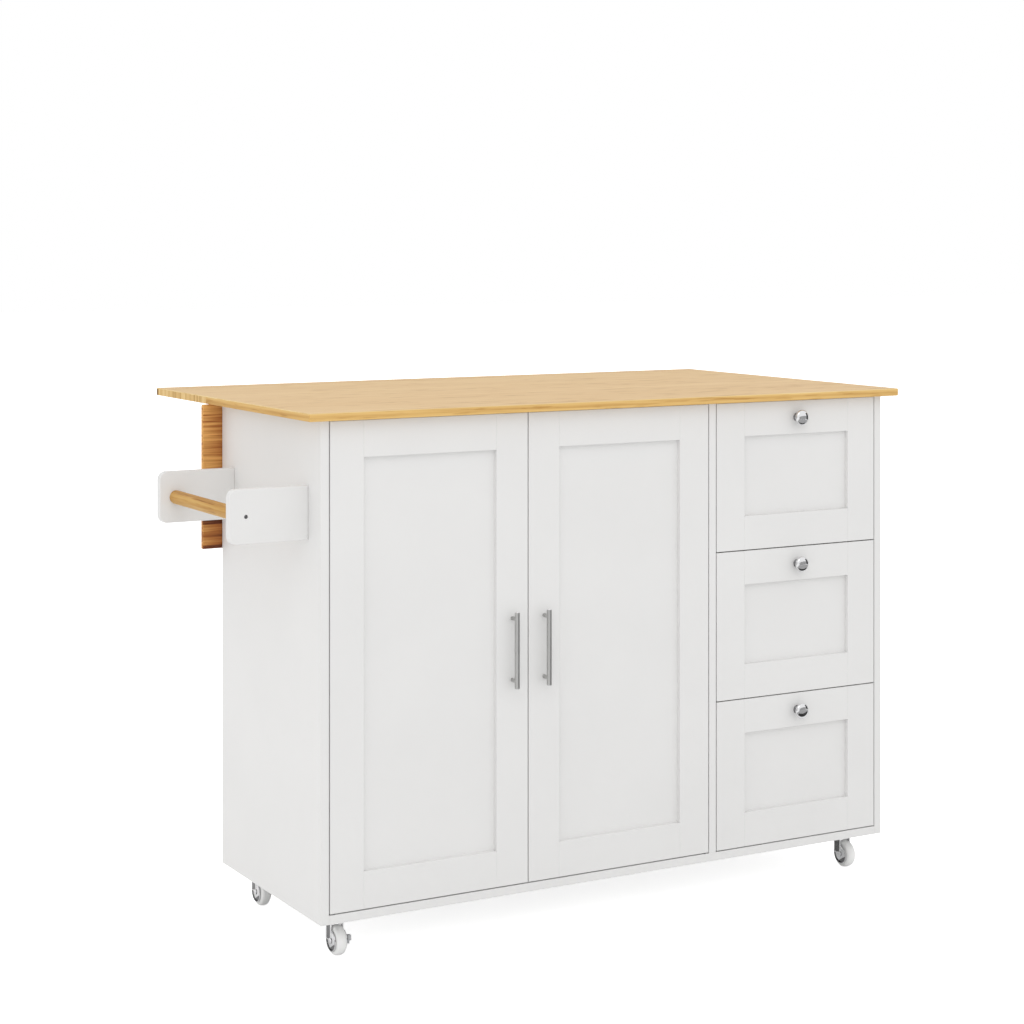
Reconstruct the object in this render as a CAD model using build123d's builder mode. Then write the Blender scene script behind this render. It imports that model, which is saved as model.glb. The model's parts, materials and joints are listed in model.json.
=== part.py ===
"""Rolling kitchen island with a folding rear leaf, two doors, three drawers and a towel rack.

Millimetres, +Z up. The origin is on the floor under the middle of the whole outline.
+X runs along the island's length and +Y to the back, where the leaf folds down.
"""
import os

from build123d import *

# Cabinet
working_height = 920
cabinet_width = 1172
cabinet_depth = 430.5
caster_height = 70
board_thickness = 15
drawer_bay_width = 366
back_thickness = 12
back_recess = 6
rail_width = 60
rail_setback = 8

# Worktop and folding leaf
top_thickness = 14
top_overhang_side = 29
top_overhang_front = 19
top_corner_radius = 4
leaf_depth = 258.5
seam_gap = 1

# Doors and drawer fronts: flat panels held in the grooves of a frame
front_thickness = 18
frame_width = 62
panel_thickness = 6
panel_setback = 8
panel_tongue = 7
reveal = 2
drawer_count = 3

# Door pivots: a pin in the cabinet turns in a bush in the door
pivot_edge_inset = 7
pivot_face_inset = 4.5
pivot_pin_radius = 2
pivot_bush_radius = 3.25
pivot_collar_radius = 3.8
pivot_depth = 9
running_clearance = 0.05
end_gap = 0.1

# Magnetic catch and its strikes
catch_length = 44
catch_depth = 16
catch_height = 12
strike_thickness = 1.5
strike_height = 30
strike_width = 18
strike_edge = 3
catch_gap = 0.3

# Bar handles
bar_radius = 4.5
bar_length = 134
bar_standoff = 17.5
post_radius = 3.5
post_spacing = 107
fixing_radius = 2
fixing_head_radius = 4
fixing_head_height = 2.5
fixing_grip = 9

# Knobs
knob_projection = 22
knob_head_radius = 14.5
knob_head_height = 11
knob_crown = 5
knob_stem_radius = 5.5
knob_foot_radius = 8
knob_foot_height = 2

# Drawer boxes and runners
box_side_thickness = 12
box_bottom_thickness = 5
box_bottom_lift = 10
box_height = 170
box_lift = 25
box_depth = 350
runner_space = 12.7
runner_height = 36
runner_gauge = 1.2
runner_flange = 8
runner_clearance = 0.4
runner_lift = 60
runner_setback = 4

# Shelf
shelf_height = 400
shelf_setback = 10
shelf_side_gap = 1
shelf_back_gap = 2
shelf_pin_radius = 2.5
shelf_pin_depth = 8
shelf_pin_inset = 40

# Towel rack
rack_reach = 142
rack_board_height = 91
rack_board_thickness = 15
rack_drop = 112
rack_front_inset = 50
rack_rear_inset = 45
rack_corner_radius = 14
dowel_radius = 12
dowel_inset = 30
rack_screw_radius = 2
rack_screw_head_radius = 3.5
rack_screw_head_depth = 3
rack_screw_head_height = 2.4
rack_screw_length = 40

# Swinging supports for the leaf
wing_thickness = 10
wing_height = 262
wing_length = 227.5
wing_grip = 36.5
wing_standoff = 1
wing_top_gap = 1
wing_edge_chamfer = 3
wing_pin_inset = 4
wing_hinge_height = 50
wing_hinge_inset = 35
wing_plate_width = 27
wing_plate_thickness = 1.6
wing_barrel_radius = 3
wing_pin_radius = 1.5
wing_barrel_share = 0.32
hinge_side_gap = 0.3

# Leaf hinges, their pins hung below the seam
leaf_pin_drop = 10
leaf_pin_radius = 2.5
leaf_barrel_radius = 5
leaf_fold_inset = 6.5
leaf_plate_length = 60
leaf_plate_reach = 40
leaf_plate_drop = 45
leaf_plate_thickness = 2.5
leaf_web = 4.5
leaf_hinge_inset = 300
leaf_knuckle_share = 0.3

# Casters
wheel_radius = 25
wheel_width = 18
wheel_rim_radius = 4
wheel_hub_radius = 8
wheel_hub_proud = 0.7
wheel_leg_gap = 1
caster_inset_left = 54.2
caster_inset_right = 44.5
caster_inset_front = 70
caster_inset_rear = 39
caster_trail = 16
caster_plate_length = 54
caster_plate_width = 48
caster_plate_thickness = 2.5
caster_race_radius = 12
caster_race_height = 2
caster_swivel_gap = 0.3
caster_screw_inset = 7
caster_screw_radius = 2
caster_screw_length = 11
caster_screw_head_radius = 4
caster_screw_head_height = 1.8
kingpin_radius = 4
kingpin_head_radius = 6.5
kingpin_head_height = 2
fork_gauge = 2.5
fork_bridge_half = 14
fork_eye_radius = 18
fork_leg_width = 20
fork_leg_shift = 8
axle_radius = 3
axle_head_radius = 5
axle_head_height = 1.5
brake_gauge = 2.5
brake_gap = 0.2
brake_eye_radius = 5.5
brake_lever_width = 8
brake_lever_reach = 18
brake_ledge_length = 8
brake_ledge_rise = 10
brake_ledge_height = 9
brake_ledge_depth = 3.5

# Places worked out from the sizes above
handle_reach = bar_standoff + bar_radius
wing_outer_offset = wing_standoff + wing_thickness
leaf_pin_offset = wing_outer_offset - leaf_fold_inset
rear_reach = cabinet_depth + leaf_pin_offset + seam_gap / 2 + leaf_depth

left_x = -(cabinet_width + wing_grip - rack_reach) / 2
right_x = left_x + cabinet_width
front_y = -(rear_reach - handle_reach) / 2
back_y = front_y + cabinet_depth
base_z = caster_height
floor_z = base_z + board_thickness
under_top_z = working_height - top_thickness

inner_left_x = left_x + board_thickness
inner_right_x = right_x - board_thickness
partition_right_x = inner_right_x - drawer_bay_width
partition_left_x = partition_right_x - board_thickness
back_outer_y = back_y - back_recess
back_inner_y = back_outer_y - back_thickness
front_back_y = front_y + front_thickness
panel_y = front_y + panel_setback

leaf_pin_y = back_y + leaf_pin_offset
leaf_pin_z = under_top_z - leaf_pin_drop
top_left_x = left_x - top_overhang_side
top_right_x = right_x + top_overhang_side
top_front_y = front_y - top_overhang_front
top_rear_y = leaf_pin_y - seam_gap / 2
leaf_front_y = leaf_pin_y + seam_gap / 2
leaf_rear_y = leaf_front_y + leaf_depth

door_low_z = floor_z + reveal
door_high_z = under_top_z - reveal
door_bay_width = partition_left_x - inner_left_x
door_width = (door_bay_width - 3 * reveal) / 2
shelf_z = floor_z + shelf_height


def slab(x, y, z):
    """A square-edged board between its low and high corner along each axis."""
    with BuildPart() as piece:
        with BuildSketch(Plane.XY.offset(z[0])):
            with Locations(((x[0] + x[1]) / 2, (y[0] + y[1]) / 2)):
                Rectangle(x[1] - x[0], y[1] - y[0])
        extrude(amount=z[1] - z[0])
    return piece.part


def rod(plane, radius, length):
    """A round bar that starts on a plane and runs along its normal."""
    with BuildPart() as piece:
        with BuildSketch(plane):
            Circle(radius)
        extrude(amount=length)
    return piece.part


def face_plane(x, y, z):
    """A plane facing the front, with its axes along +X and +Z."""
    return Plane(origin=(x, y, z), x_dir=(1, 0, 0), z_dir=(0, -1, 0))


def save(name, *pieces):
    """Write one named node: a single piece, or a group of separate pieces."""
    node = pieces[0] if len(pieces) == 1 else Compound(children=list(pieces))
    node.label = name
    export_step(node, f"parts/{name}.step")


os.makedirs("parts", exist_ok=True)

# Shelf pins: four pegs in the door bay, half in the walls and half under the shelf
shelf_pin_z = shelf_z - shelf_pin_radius
shelf_front_y = front_back_y + shelf_setback
shelf_rear_y = back_inner_y - shelf_back_gap
shelf_pin_ys = (shelf_front_y + shelf_pin_inset, shelf_rear_y - shelf_pin_inset)

# Towel rack height and rows, hung from the worktop's underside
rack_high_z = under_top_z - rack_drop
rack_middle_z = rack_high_z - rack_board_height / 2
rack_front_row = (front_y + rack_front_inset, front_y + rack_front_inset + rack_board_thickness)
rack_rear_row = (back_y - rack_rear_inset - rack_board_thickness, back_y - rack_rear_inset)
dowel_x = left_x - rack_reach + dowel_inset

# Door pivot axes
left_pivot_x = inner_left_x + reveal + pivot_edge_inset
right_pivot_x = partition_left_x - reveal - pivot_edge_inset
pivot_y = front_y + pivot_face_inset

# Caster kingpins: all wheels trail to the front, brakes on one diagonal
front_caster_y = front_y + caster_inset_front
rear_caster_y = back_y - caster_inset_rear
caster_left_x = left_x + caster_inset_left
caster_right_x = right_x - caster_inset_right
casters = {
    "front_left": (caster_left_x, front_caster_y, True),
    "front_right": (caster_right_x, front_caster_y, False),
    "rear_left": (caster_left_x, rear_caster_y, False),
    "rear_right": (caster_right_x, rear_caster_y, True),
}
caster_screw_dx = caster_plate_length / 2 - caster_screw_inset
caster_screw_dy = caster_plate_width / 2 - caster_screw_inset
plate_under_z = base_z - caster_plate_thickness
caster_screw_points = [
    (x + sx * caster_screw_dx, y + sy * caster_screw_dy)
    for x, y, braked in casters.values()
    for sx in (-1, 1)
    for sy in (-1, 1)
]

# Side panels, with blind holes for the shelf pins on the left one
with BuildPart() as side_panel_left:
    with BuildSketch(Plane.YZ.offset(left_x)):
        with Locations(((front_y + back_y) / 2, (base_z + under_top_z) / 2)):
            Rectangle(cabinet_depth, under_top_z - base_z)
    extrude(amount=board_thickness)
    with BuildSketch(Plane.YZ.offset(inner_left_x)):
        with Locations(*[(y, shelf_pin_z) for y in shelf_pin_ys]):
            Circle(shelf_pin_radius)
    extrude(amount=-shelf_pin_depth, mode=Mode.SUBTRACT)
save("side_panel_left", side_panel_left.part)

side_panel_right = slab((inner_right_x, right_x), (front_y, back_y), (base_z, under_top_z))
save("side_panel_right", side_panel_right)

# Partition between the door bay and the drawers
with BuildPart() as partition_panel:
    with BuildSketch(Plane.YZ.offset(partition_left_x)):
        with Locations(((front_y + back_inner_y) / 2, (floor_z + under_top_z) / 2)):
            Rectangle(back_inner_y - front_y, under_top_z - floor_z)
    extrude(amount=board_thickness)
    with BuildSketch(Plane.YZ.offset(partition_left_x)):
        with Locations(*[(y, shelf_pin_z) for y in shelf_pin_ys]):
            Circle(shelf_pin_radius)
    extrude(amount=shelf_pin_depth, mode=Mode.SUBTRACT)
save("partition_panel", partition_panel.part)

# Bottom panel, drilled for the lower door pivots and the caster screws
with BuildPart() as bottom_panel:
    with BuildSketch(Plane.XY.offset(base_z)):
        with Locations(((inner_left_x + inner_right_x) / 2, (front_y + back_outer_y) / 2)):
            Rectangle(inner_right_x - inner_left_x, back_outer_y - front_y)
    extrude(amount=board_thickness)
    with BuildSketch(Plane.XY.offset(floor_z)):
        with Locations((left_pivot_x, pivot_y), (right_pivot_x, pivot_y)):
            Circle(pivot_pin_radius)
    extrude(amount=-pivot_depth, mode=Mode.SUBTRACT)
    with BuildSketch(Plane.XY.offset(base_z)):
        with Locations(*caster_screw_points):
            Circle(caster_screw_radius)
    extrude(amount=caster_screw_length - caster_plate_thickness, mode=Mode.SUBTRACT)
save("bottom_panel", bottom_panel.part)

back_panel = slab((inner_left_x, inner_right_x), (back_inner_y, back_outer_y), (floor_z, under_top_z))
save("back_panel", back_panel)

# Top rails: flat boards under the worktop, at the front and the back of each bay
rail_z = (under_top_z - board_thickness, under_top_z)
rail_front_y = front_back_y + rail_setback
rail_rows = ((rail_front_y, rail_front_y + rail_width), (back_inner_y - rail_width, back_inner_y))
rail_bays = ((inner_left_x, partition_left_x), (partition_right_x, inner_right_x))
save("top_rails", *[slab(bay, row, rail_z) for bay in rail_bays for row in rail_rows])

# Worktop: rounded at its front corners, drilled below for the upper door pivots
with BuildPart() as countertop:
    with BuildSketch(Plane.XY.offset(under_top_z)):
        with Locations(((top_left_x + top_right_x) / 2, (top_front_y + top_rear_y) / 2)):
            Rectangle(top_right_x - top_left_x, top_rear_y - top_front_y)
    extrude(amount=top_thickness)
    front_corners = countertop.edges().filter_by(Axis.Z).group_by(Axis.Y)[0]
    fillet(front_corners, radius=top_corner_radius)
    with BuildSketch(Plane.XY.offset(under_top_z)):
        with Locations((left_pivot_x, pivot_y), (right_pivot_x, pivot_y)):
            Circle(pivot_pin_radius)
    extrude(amount=pivot_depth, mode=Mode.SUBTRACT)
save("countertop", countertop.part)

# Folding leaf: rounded at its rear corners
with BuildPart() as drop_leaf:
    with BuildSketch(Plane.XY.offset(under_top_z)):
        with Locations(((top_left_x + top_right_x) / 2, (leaf_front_y + leaf_rear_y) / 2)):
            Rectangle(top_right_x - top_left_x, leaf_depth)
    extrude(amount=top_thickness)
    rear_corners = drop_leaf.edges().filter_by(Axis.Z).group_by(Axis.Y)[-1]
    fillet(rear_corners, radius=top_corner_radius)
save("drop_leaf", drop_leaf.part)

# Adjustable shelf on its four pins
shelf_x = (inner_left_x + shelf_side_gap, partition_left_x - shelf_side_gap)
shelf = slab(shelf_x, (shelf_front_y, shelf_rear_y), (shelf_z, shelf_z + board_thickness))
save("shelf", shelf)
shelf_pins = []
for pin_y in shelf_pin_ys:
    for start_x in (inner_left_x - shelf_pin_depth, partition_left_x - shelf_pin_depth):
        pin_start = Plane(origin=(start_x, pin_y, shelf_pin_z), z_dir=(1, 0, 0))
        shelf_pins.append(rod(pin_start, shelf_pin_radius, 2 * shelf_pin_depth))
save("shelf_pins", *shelf_pins)


def rack_board(row, counterbore):
    """One towel rack board with rounded outer corners and a screw hole into the dowel."""
    with BuildPart() as piece:
        with BuildSketch(face_plane(left_x - rack_reach / 2, row[0], rack_middle_z)):
            Rectangle(rack_reach, rack_board_height)
        extrude(amount=-rack_board_thickness)
        outer_corners = piece.edges().filter_by(Axis.Y).group_by(Axis.X)[0]
        fillet(outer_corners, radius=rack_corner_radius)
        with BuildSketch(face_plane(dowel_x, row[0], rack_middle_z)):
            Circle(rack_screw_radius)
        extrude(amount=-rack_board_thickness, mode=Mode.SUBTRACT)
        with BuildSketch(face_plane(dowel_x, counterbore[0], rack_middle_z)):
            Circle(rack_screw_head_radius)
        extrude(amount=counterbore[1], mode=Mode.SUBTRACT)
    return piece.part


def rack_screw(head_y, direction):
    """A wood screw whose head sits at head_y and whose shank runs along direction."""
    with BuildPart() as piece:
        with BuildSketch(face_plane(dowel_x, head_y, rack_middle_z)):
            Circle(rack_screw_head_radius)
        extrude(amount=direction * rack_screw_head_height)
        with BuildSketch(face_plane(dowel_x, head_y, rack_middle_z)):
            Circle(rack_screw_radius)
        extrude(amount=-direction * rack_screw_length)
    return piece.part


# Towel rack: two boards, a wooden dowel between them and a screw into each of its ends
save("towel_brackets",
     rack_board(rack_front_row, (rack_front_row[0], -rack_screw_head_depth)),
     rack_board(rack_rear_row, (rack_rear_row[1], rack_screw_head_depth)))
front_head_y = rack_front_row[0] + rack_screw_head_depth
rear_head_y = rack_rear_row[1] - rack_screw_head_depth
save("towel_screws", rack_screw(front_head_y, 1), rack_screw(rear_head_y, -1))
screw_bite = rack_screw_length - (rack_board_thickness - rack_screw_head_depth)
with BuildPart() as towel_dowel:
    with BuildSketch(face_plane(dowel_x, rack_front_row[1], rack_middle_z)):
        Circle(dowel_radius)
    extrude(amount=rack_front_row[1] - rack_rear_row[0])
    with BuildSketch(face_plane(dowel_x, rack_front_row[1], rack_middle_z)):
        Circle(rack_screw_radius)
    extrude(amount=-screw_bite, mode=Mode.SUBTRACT)
    with BuildSketch(face_plane(dowel_x, rack_rear_row[0], rack_middle_z)):
        Circle(rack_screw_radius)
    extrude(amount=screw_bite, mode=Mode.SUBTRACT)
save("towel_dowel", towel_dowel.part)


def pivot_pin(x, seat_z, up):
    """A door pivot: a pin set in the cabinet, with a collar that the door runs on."""
    with BuildPart() as piece:
        with BuildSketch(Plane.XY.offset(seat_z - up * pivot_depth)):
            with Locations((x, pivot_y)):
                Circle(pivot_pin_radius)
        extrude(amount=up * (2 * pivot_depth + reveal - end_gap))
        with BuildSketch(Plane.XY.offset(seat_z)):
            with Locations((x, pivot_y)):
                Circle(pivot_collar_radius)
        extrude(amount=up * (reveal - end_gap))
    return piece.part


save("door_pivot_pins", *[pivot_pin(x, seat_z, up)
                          for x in (left_pivot_x, right_pivot_x)
                          for seat_z, up in ((floor_z, 1), (under_top_z, -1))])


def frame_member(x, z, hollow_x, hollow_z, screw_points=(), bush_points=()):
    """A stile or rail: grooved for the panel, drilled for fixings and for pivot bushes."""
    with BuildPart() as piece:
        with BuildSketch(face_plane((x[0] + x[1]) / 2, front_y, (z[0] + z[1]) / 2)):
            Rectangle(x[1] - x[0], z[1] - z[0])
        extrude(amount=-front_thickness)
        groove = face_plane((hollow_x[0] + hollow_x[1]) / 2, panel_y, (hollow_z[0] + hollow_z[1]) / 2)
        with BuildSketch(groove):
            Rectangle(hollow_x[1] - hollow_x[0], hollow_z[1] - hollow_z[0])
        extrude(amount=-panel_thickness, mode=Mode.SUBTRACT)
        for screw_x, screw_z in screw_points:
            with BuildSketch(face_plane(screw_x, front_y, screw_z)):
                Circle(fixing_radius)
            extrude(amount=-front_thickness, mode=Mode.SUBTRACT)
        for bush_x, bush_z, inwards in bush_points:
            with BuildSketch(Plane.XY.offset(bush_z)):
                with Locations((bush_x, pivot_y)):
                    Circle(pivot_bush_radius)
            extrude(amount=inwards * pivot_depth, mode=Mode.SUBTRACT)
    return piece.part


def framed_front(x, z, rail_screws=(), stile_screws=(), bushes=(), hinge_side=0):
    """The two stiles, two rails and the panel of a door or drawer front, as separate pieces."""
    inner_x = (x[0] + frame_width, x[1] - frame_width)
    inner_z = (z[0] + frame_width, z[1] - frame_width)
    hollow_x = (inner_x[0] - panel_tongue, inner_x[1] + panel_tongue)
    hollow_z = (inner_z[0] - panel_tongue, inner_z[1] + panel_tongue)
    stiles = ((x[0], inner_x[0]), (inner_x[1], x[1]))
    frame = []
    for side, stile_x in enumerate(stiles):
        hinge_bushes = bushes if side == hinge_side else ()
        handle_screws = () if side == hinge_side else stile_screws
        frame.append(frame_member(stile_x, z, hollow_x, hollow_z, handle_screws, hinge_bushes))
    frame.append(frame_member(inner_x, (z[0], inner_z[0]), hollow_x, hollow_z))
    frame.append(frame_member(inner_x, (inner_z[1], z[1]), hollow_x, hollow_z, rail_screws))
    panel = slab(hollow_x, (panel_y, panel_y + panel_thickness), hollow_z)
    return frame, panel


def fixing_screw(x, z):
    """A machine screw from the back of a front, through it and into a handle or knob."""
    with BuildPart() as piece:
        with BuildSketch(face_plane(x, front_back_y, z)):
            Circle(fixing_radius)
        extrude(amount=front_thickness + fixing_grip)
        with BuildSketch(face_plane(x, front_back_y, z)):
            Circle(fixing_head_radius)
        extrude(amount=-fixing_head_height)
    return piece.part


def handle_post(x, z):
    """A post of a bar handle, saddled to the bar and bored for its screw."""
    with BuildPart() as piece:
        with BuildSketch(face_plane(x, front_y, z)):
            Circle(post_radius)
        extrude(amount=bar_standoff)
        with BuildSketch(Plane.XY.offset(z - 2 * post_radius)):
            with Locations((x, front_y - bar_standoff)):
                Circle(bar_radius)
        extrude(amount=4 * post_radius, mode=Mode.SUBTRACT)
        with BuildSketch(face_plane(x, front_y, z)):
            Circle(fixing_radius)
        extrude(amount=fixing_grip, mode=Mode.SUBTRACT)
    return piece.part


# Doors: the left one hinged at the side panel, the right one at the partition
door_middle_z = (door_low_z + door_high_z) / 2
post_zs = (door_middle_z - post_spacing / 2, door_middle_z + post_spacing / 2)
left_door_x = (inner_left_x + reveal, inner_left_x + reveal + door_width)
right_door_x = (partition_left_x - reveal - door_width, partition_left_x - reveal)
catch_x = (left_door_x[1] + right_door_x[0]) / 2
doors = {
    "left": (left_door_x, left_pivot_x, 0, left_door_x[1] - frame_width / 2),
    "right": (right_door_x, right_pivot_x, 1, right_door_x[0] + frame_width / 2),
}
for side, (door_x, pivot_x, hinge_side, handle_x) in doors.items():
    handle_points = [(handle_x, post_z) for post_z in post_zs]
    bush_points = [(pivot_x, door_low_z, 1), (pivot_x, door_high_z, -1)]
    door_frame, door_panel = framed_front(door_x, (door_low_z, door_high_z), stile_screws=handle_points,
                                          bushes=bush_points, hinge_side=hinge_side)
    save(f"door_{side}_frame", *door_frame)
    save(f"door_{side}_panel", door_panel)

    bar_start = Plane(origin=(handle_x, front_y - bar_standoff, door_middle_z - bar_length / 2))
    handle = [rod(bar_start, bar_radius, bar_length)]
    handle += [handle_post(*point) for point in handle_points]
    handle += [fixing_screw(*point) for point in handle_points]
    save(f"door_{side}_handle", *handle)

    door_bushes = []
    for bush_x, bush_z, inwards in bush_points:
        with BuildPart() as bush:
            with BuildSketch(Plane.XY.offset(bush_z)):
                with Locations((bush_x, pivot_y)):
                    Circle(pivot_bush_radius)
                    Circle(pivot_pin_radius + running_clearance, mode=Mode.SUBTRACT)
            extrude(amount=inwards * pivot_depth)
        door_bushes.append(bush.part)
    save(f"door_{side}_bushes", *door_bushes)

    meeting_x = door_x[1] if side == "left" else door_x[0]
    into_door = -1 if side == "left" else 1
    strike_ends = sorted(meeting_x + into_door * inset for inset in (strike_edge, strike_edge + strike_width))
    strike_high_z = rail_z[0] + (strike_height - catch_height) / 2
    strike = slab(strike_ends, (front_back_y, front_back_y + strike_thickness),
                  (strike_high_z - strike_height, strike_high_z))
    save(f"door_{side}_strike", strike)

# Magnetic catch under the front rail, facing both strikes
catch_front_y = front_back_y + strike_thickness + catch_gap
catch = slab((catch_x - catch_length / 2, catch_x + catch_length / 2),
             (catch_front_y, catch_front_y + catch_depth), (rail_z[0] - catch_height, rail_z[0]))
save("door_catch", catch)


def runner(wall_x, inwards, y, z_middle, height, depth):
    """A length of C-section runner: a web on a wall and two flanges pointing inwards."""
    web_x = wall_x + inwards * runner_gauge / 2
    flange_x = wall_x + inwards * depth / 2
    with BuildPart() as piece:
        with BuildSketch(face_plane(0, y[0], z_middle)):
            with Locations((web_x, 0)):
                Rectangle(runner_gauge, height)
            with Locations((flange_x, (height - runner_gauge) / 2), (flange_x, (runner_gauge - height) / 2)):
                Rectangle(depth, runner_gauge)
        extrude(amount=y[0] - y[1])
    return piece.part


# Drawers: framed front, box, knob and the moving half of its runners
bay_height = under_top_z - floor_z
front_height = (bay_height - (drawer_count + 1) * reveal) / drawer_count
drawer_x = (partition_right_x + reveal, inner_right_x - reveal)
box_x = (partition_right_x + runner_space, inner_right_x - runner_space)
box_y = (front_back_y, front_back_y + box_depth)
inner_box_x = (box_x[0] + box_side_thickness, box_x[1] - box_side_thickness)
inner_box_y = (box_y[0] + box_side_thickness, box_y[1] - box_side_thickness)
runner_y = (front_back_y + runner_setback, box_y[1])
knob_x = (drawer_x[0] + drawer_x[1]) / 2
knob_crown_radius = (knob_head_radius**2 + knob_crown**2) / (2 * knob_crown)
moving_height = runner_height - 2 * runner_gauge - 2 * runner_clearance
moving_depth = runner_space - runner_gauge - runner_clearance
fixed_runners = []
for number in range(1, drawer_count + 1):
    high_z = door_high_z - (number - 1) * (front_height + reveal)
    low_z = high_z - front_height
    knob_z = high_z - frame_width / 2
    drawer_frame, drawer_panel = framed_front(drawer_x, (low_z, high_z), rail_screws=[(knob_x, knob_z)])
    save(f"drawer_{number}_front", *drawer_frame, drawer_panel)

    box_z = (low_z + box_lift, low_z + box_lift + box_height)
    bottom_z = box_z[0] + box_bottom_lift
    save(f"drawer_{number}_box",
         slab((box_x[0], inner_box_x[0]), box_y, box_z),
         slab((inner_box_x[1], box_x[1]), box_y, box_z),
         slab(inner_box_x, (box_y[0], inner_box_y[0]), box_z),
         slab(inner_box_x, (inner_box_y[1], box_y[1]), box_z),
         slab(inner_box_x, inner_box_y, (bottom_z, bottom_z + box_bottom_thickness)))

    with BuildPart() as knob:
        with BuildSketch(Plane(origin=(knob_x, front_y, knob_z))):
            with BuildLine():
                neck_y = knob_head_height - knob_projection
                rim_y = knob_crown - knob_projection
                foot = Polyline((0, 0), (knob_foot_radius, 0), (knob_foot_radius, -knob_foot_height),
                                (knob_stem_radius, -knob_foot_height), (knob_stem_radius, neck_y),
                                (knob_head_radius, rim_y))
                crown = RadiusArc(foot @ 1, (0, -knob_projection), knob_crown_radius)
                Line(crown @ 1, (0, 0))
            make_face()
        revolve(axis=Axis((knob_x, front_y, knob_z), (0, 1, 0)))
        with BuildSketch(face_plane(knob_x, front_y, knob_z)):
            Circle(fixing_radius)
        extrude(amount=fixing_grip, mode=Mode.SUBTRACT)
    save(f"drawer_{number}_knob", knob.part, fixing_screw(knob_x, knob_z))

    runner_z = box_z[0] + runner_lift
    save(f"drawer_{number}_runners",
         runner(box_x[0], -1, runner_y, runner_z, moving_height, moving_depth),
         runner(box_x[1], 1, runner_y, runner_z, moving_height, moving_depth))
    fixed_runners.append(runner(partition_right_x, 1, runner_y, runner_z, runner_height, runner_flange))
    fixed_runners.append(runner(inner_right_x, -1, runner_y, runner_z, runner_height, runner_flange))
save("drawer_runners_fixed", *fixed_runners)


def barrel_spans(low, length, share):
    """The two outer spans and the middle span of a three-knuckle hinge barrel."""
    outer = length * share
    middle = (low + outer + hinge_side_gap, low + length - outer - hinge_side_gap)
    return ((low, low + outer), (low + length - outer, low + length)), middle


def wing_hinge_half(pin_x, pin_y, along, face_y, plate_y, spans, z, pin_hole):
    """One half of a swing support's hinge: a plate, its tabs and its barrels."""
    clear = wing_barrel_radius + hinge_side_gap
    plate_x = sorted((pin_x + along * clear, pin_x + along * (clear + wing_plate_width)))
    tab_x = sorted((pin_x, pin_x + along * clear))
    plate_ys = sorted((face_y, plate_y))
    with BuildPart() as piece:
        with BuildSketch(Plane.XY.offset(z[0])):
            with Locations(((plate_x[0] + plate_x[1]) / 2, (face_y + plate_y) / 2)):
                Rectangle(wing_plate_width, wing_plate_thickness)
        extrude(amount=z[1] - z[0])
        for span in spans:
            with BuildSketch(Plane.XY.offset(span[0])):
                with Locations(((tab_x[0] + tab_x[1]) / 2, (plate_ys[0] + plate_ys[1]) / 2)):
                    Rectangle(clear, wing_plate_thickness)
                with Locations((pin_x, pin_y)):
                    Circle(wing_barrel_radius)
                    Circle(pin_hole, mode=Mode.SUBTRACT)
            extrude(amount=span[1] - span[0])
    return piece.part


# Swing supports: boards folded flat behind the cabinet, hinged at their inner ends
wing_y = (back_y + wing_standoff, back_y + wing_outer_offset)
wing_high_z = under_top_z - wing_top_gap
wing_low_z = wing_high_z - wing_height
wing_pin_y = (back_outer_y + wing_y[0]) / 2
wing_hinge_lows = (wing_low_z + wing_hinge_inset, wing_high_z - wing_hinge_inset - wing_hinge_height)
fixed_wing_plates = []
wing_pins = []
for side, free_x, along in (("left", left_x - wing_grip, -1), ("right", right_x + wing_grip, 1)):
    hinge_end_x = free_x - along * wing_length
    pin_x = hinge_end_x - along * wing_pin_inset
    with BuildPart() as wing:
        with BuildSketch(Plane.XY.offset(wing_low_z)):
            with Locations(((free_x + hinge_end_x) / 2, (wing_y[0] + wing_y[1]) / 2)):
                Rectangle(wing_length, wing_thickness)
        extrude(amount=wing_height)
        upper_edges = wing.edges().filter_by(Axis.X).group_by(Axis.Z)[-1]
        chamfer(upper_edges.sort_by(Axis.Y)[-1], length=wing_edge_chamfer)
    save(f"wing_{side}", wing.part)

    moving_plates = []
    for hinge_z in wing_hinge_lows:
        z = (hinge_z, hinge_z + wing_hinge_height)
        outer_spans, middle_span = barrel_spans(hinge_z, wing_hinge_height, wing_barrel_share)
        fixed_wing_plates.append(wing_hinge_half(pin_x, wing_pin_y, along, back_outer_y,
                                                 back_outer_y + wing_plate_thickness,
                                                 outer_spans, z, wing_pin_radius))
        moving_plates.append(wing_hinge_half(pin_x, wing_pin_y, along, wing_y[0],
                                             wing_y[0] - wing_plate_thickness,
                                             (middle_span,), z, wing_pin_radius + running_clearance))
        wing_pins.append(rod(Plane(origin=(pin_x, wing_pin_y, hinge_z)), wing_pin_radius, wing_hinge_height))
    save(f"wing_{side}_hinges", *moving_plates)
save("wing_hinge_plates_fixed", *fixed_wing_plates)
save("wing_hinge_pins", *wing_pins)


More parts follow.
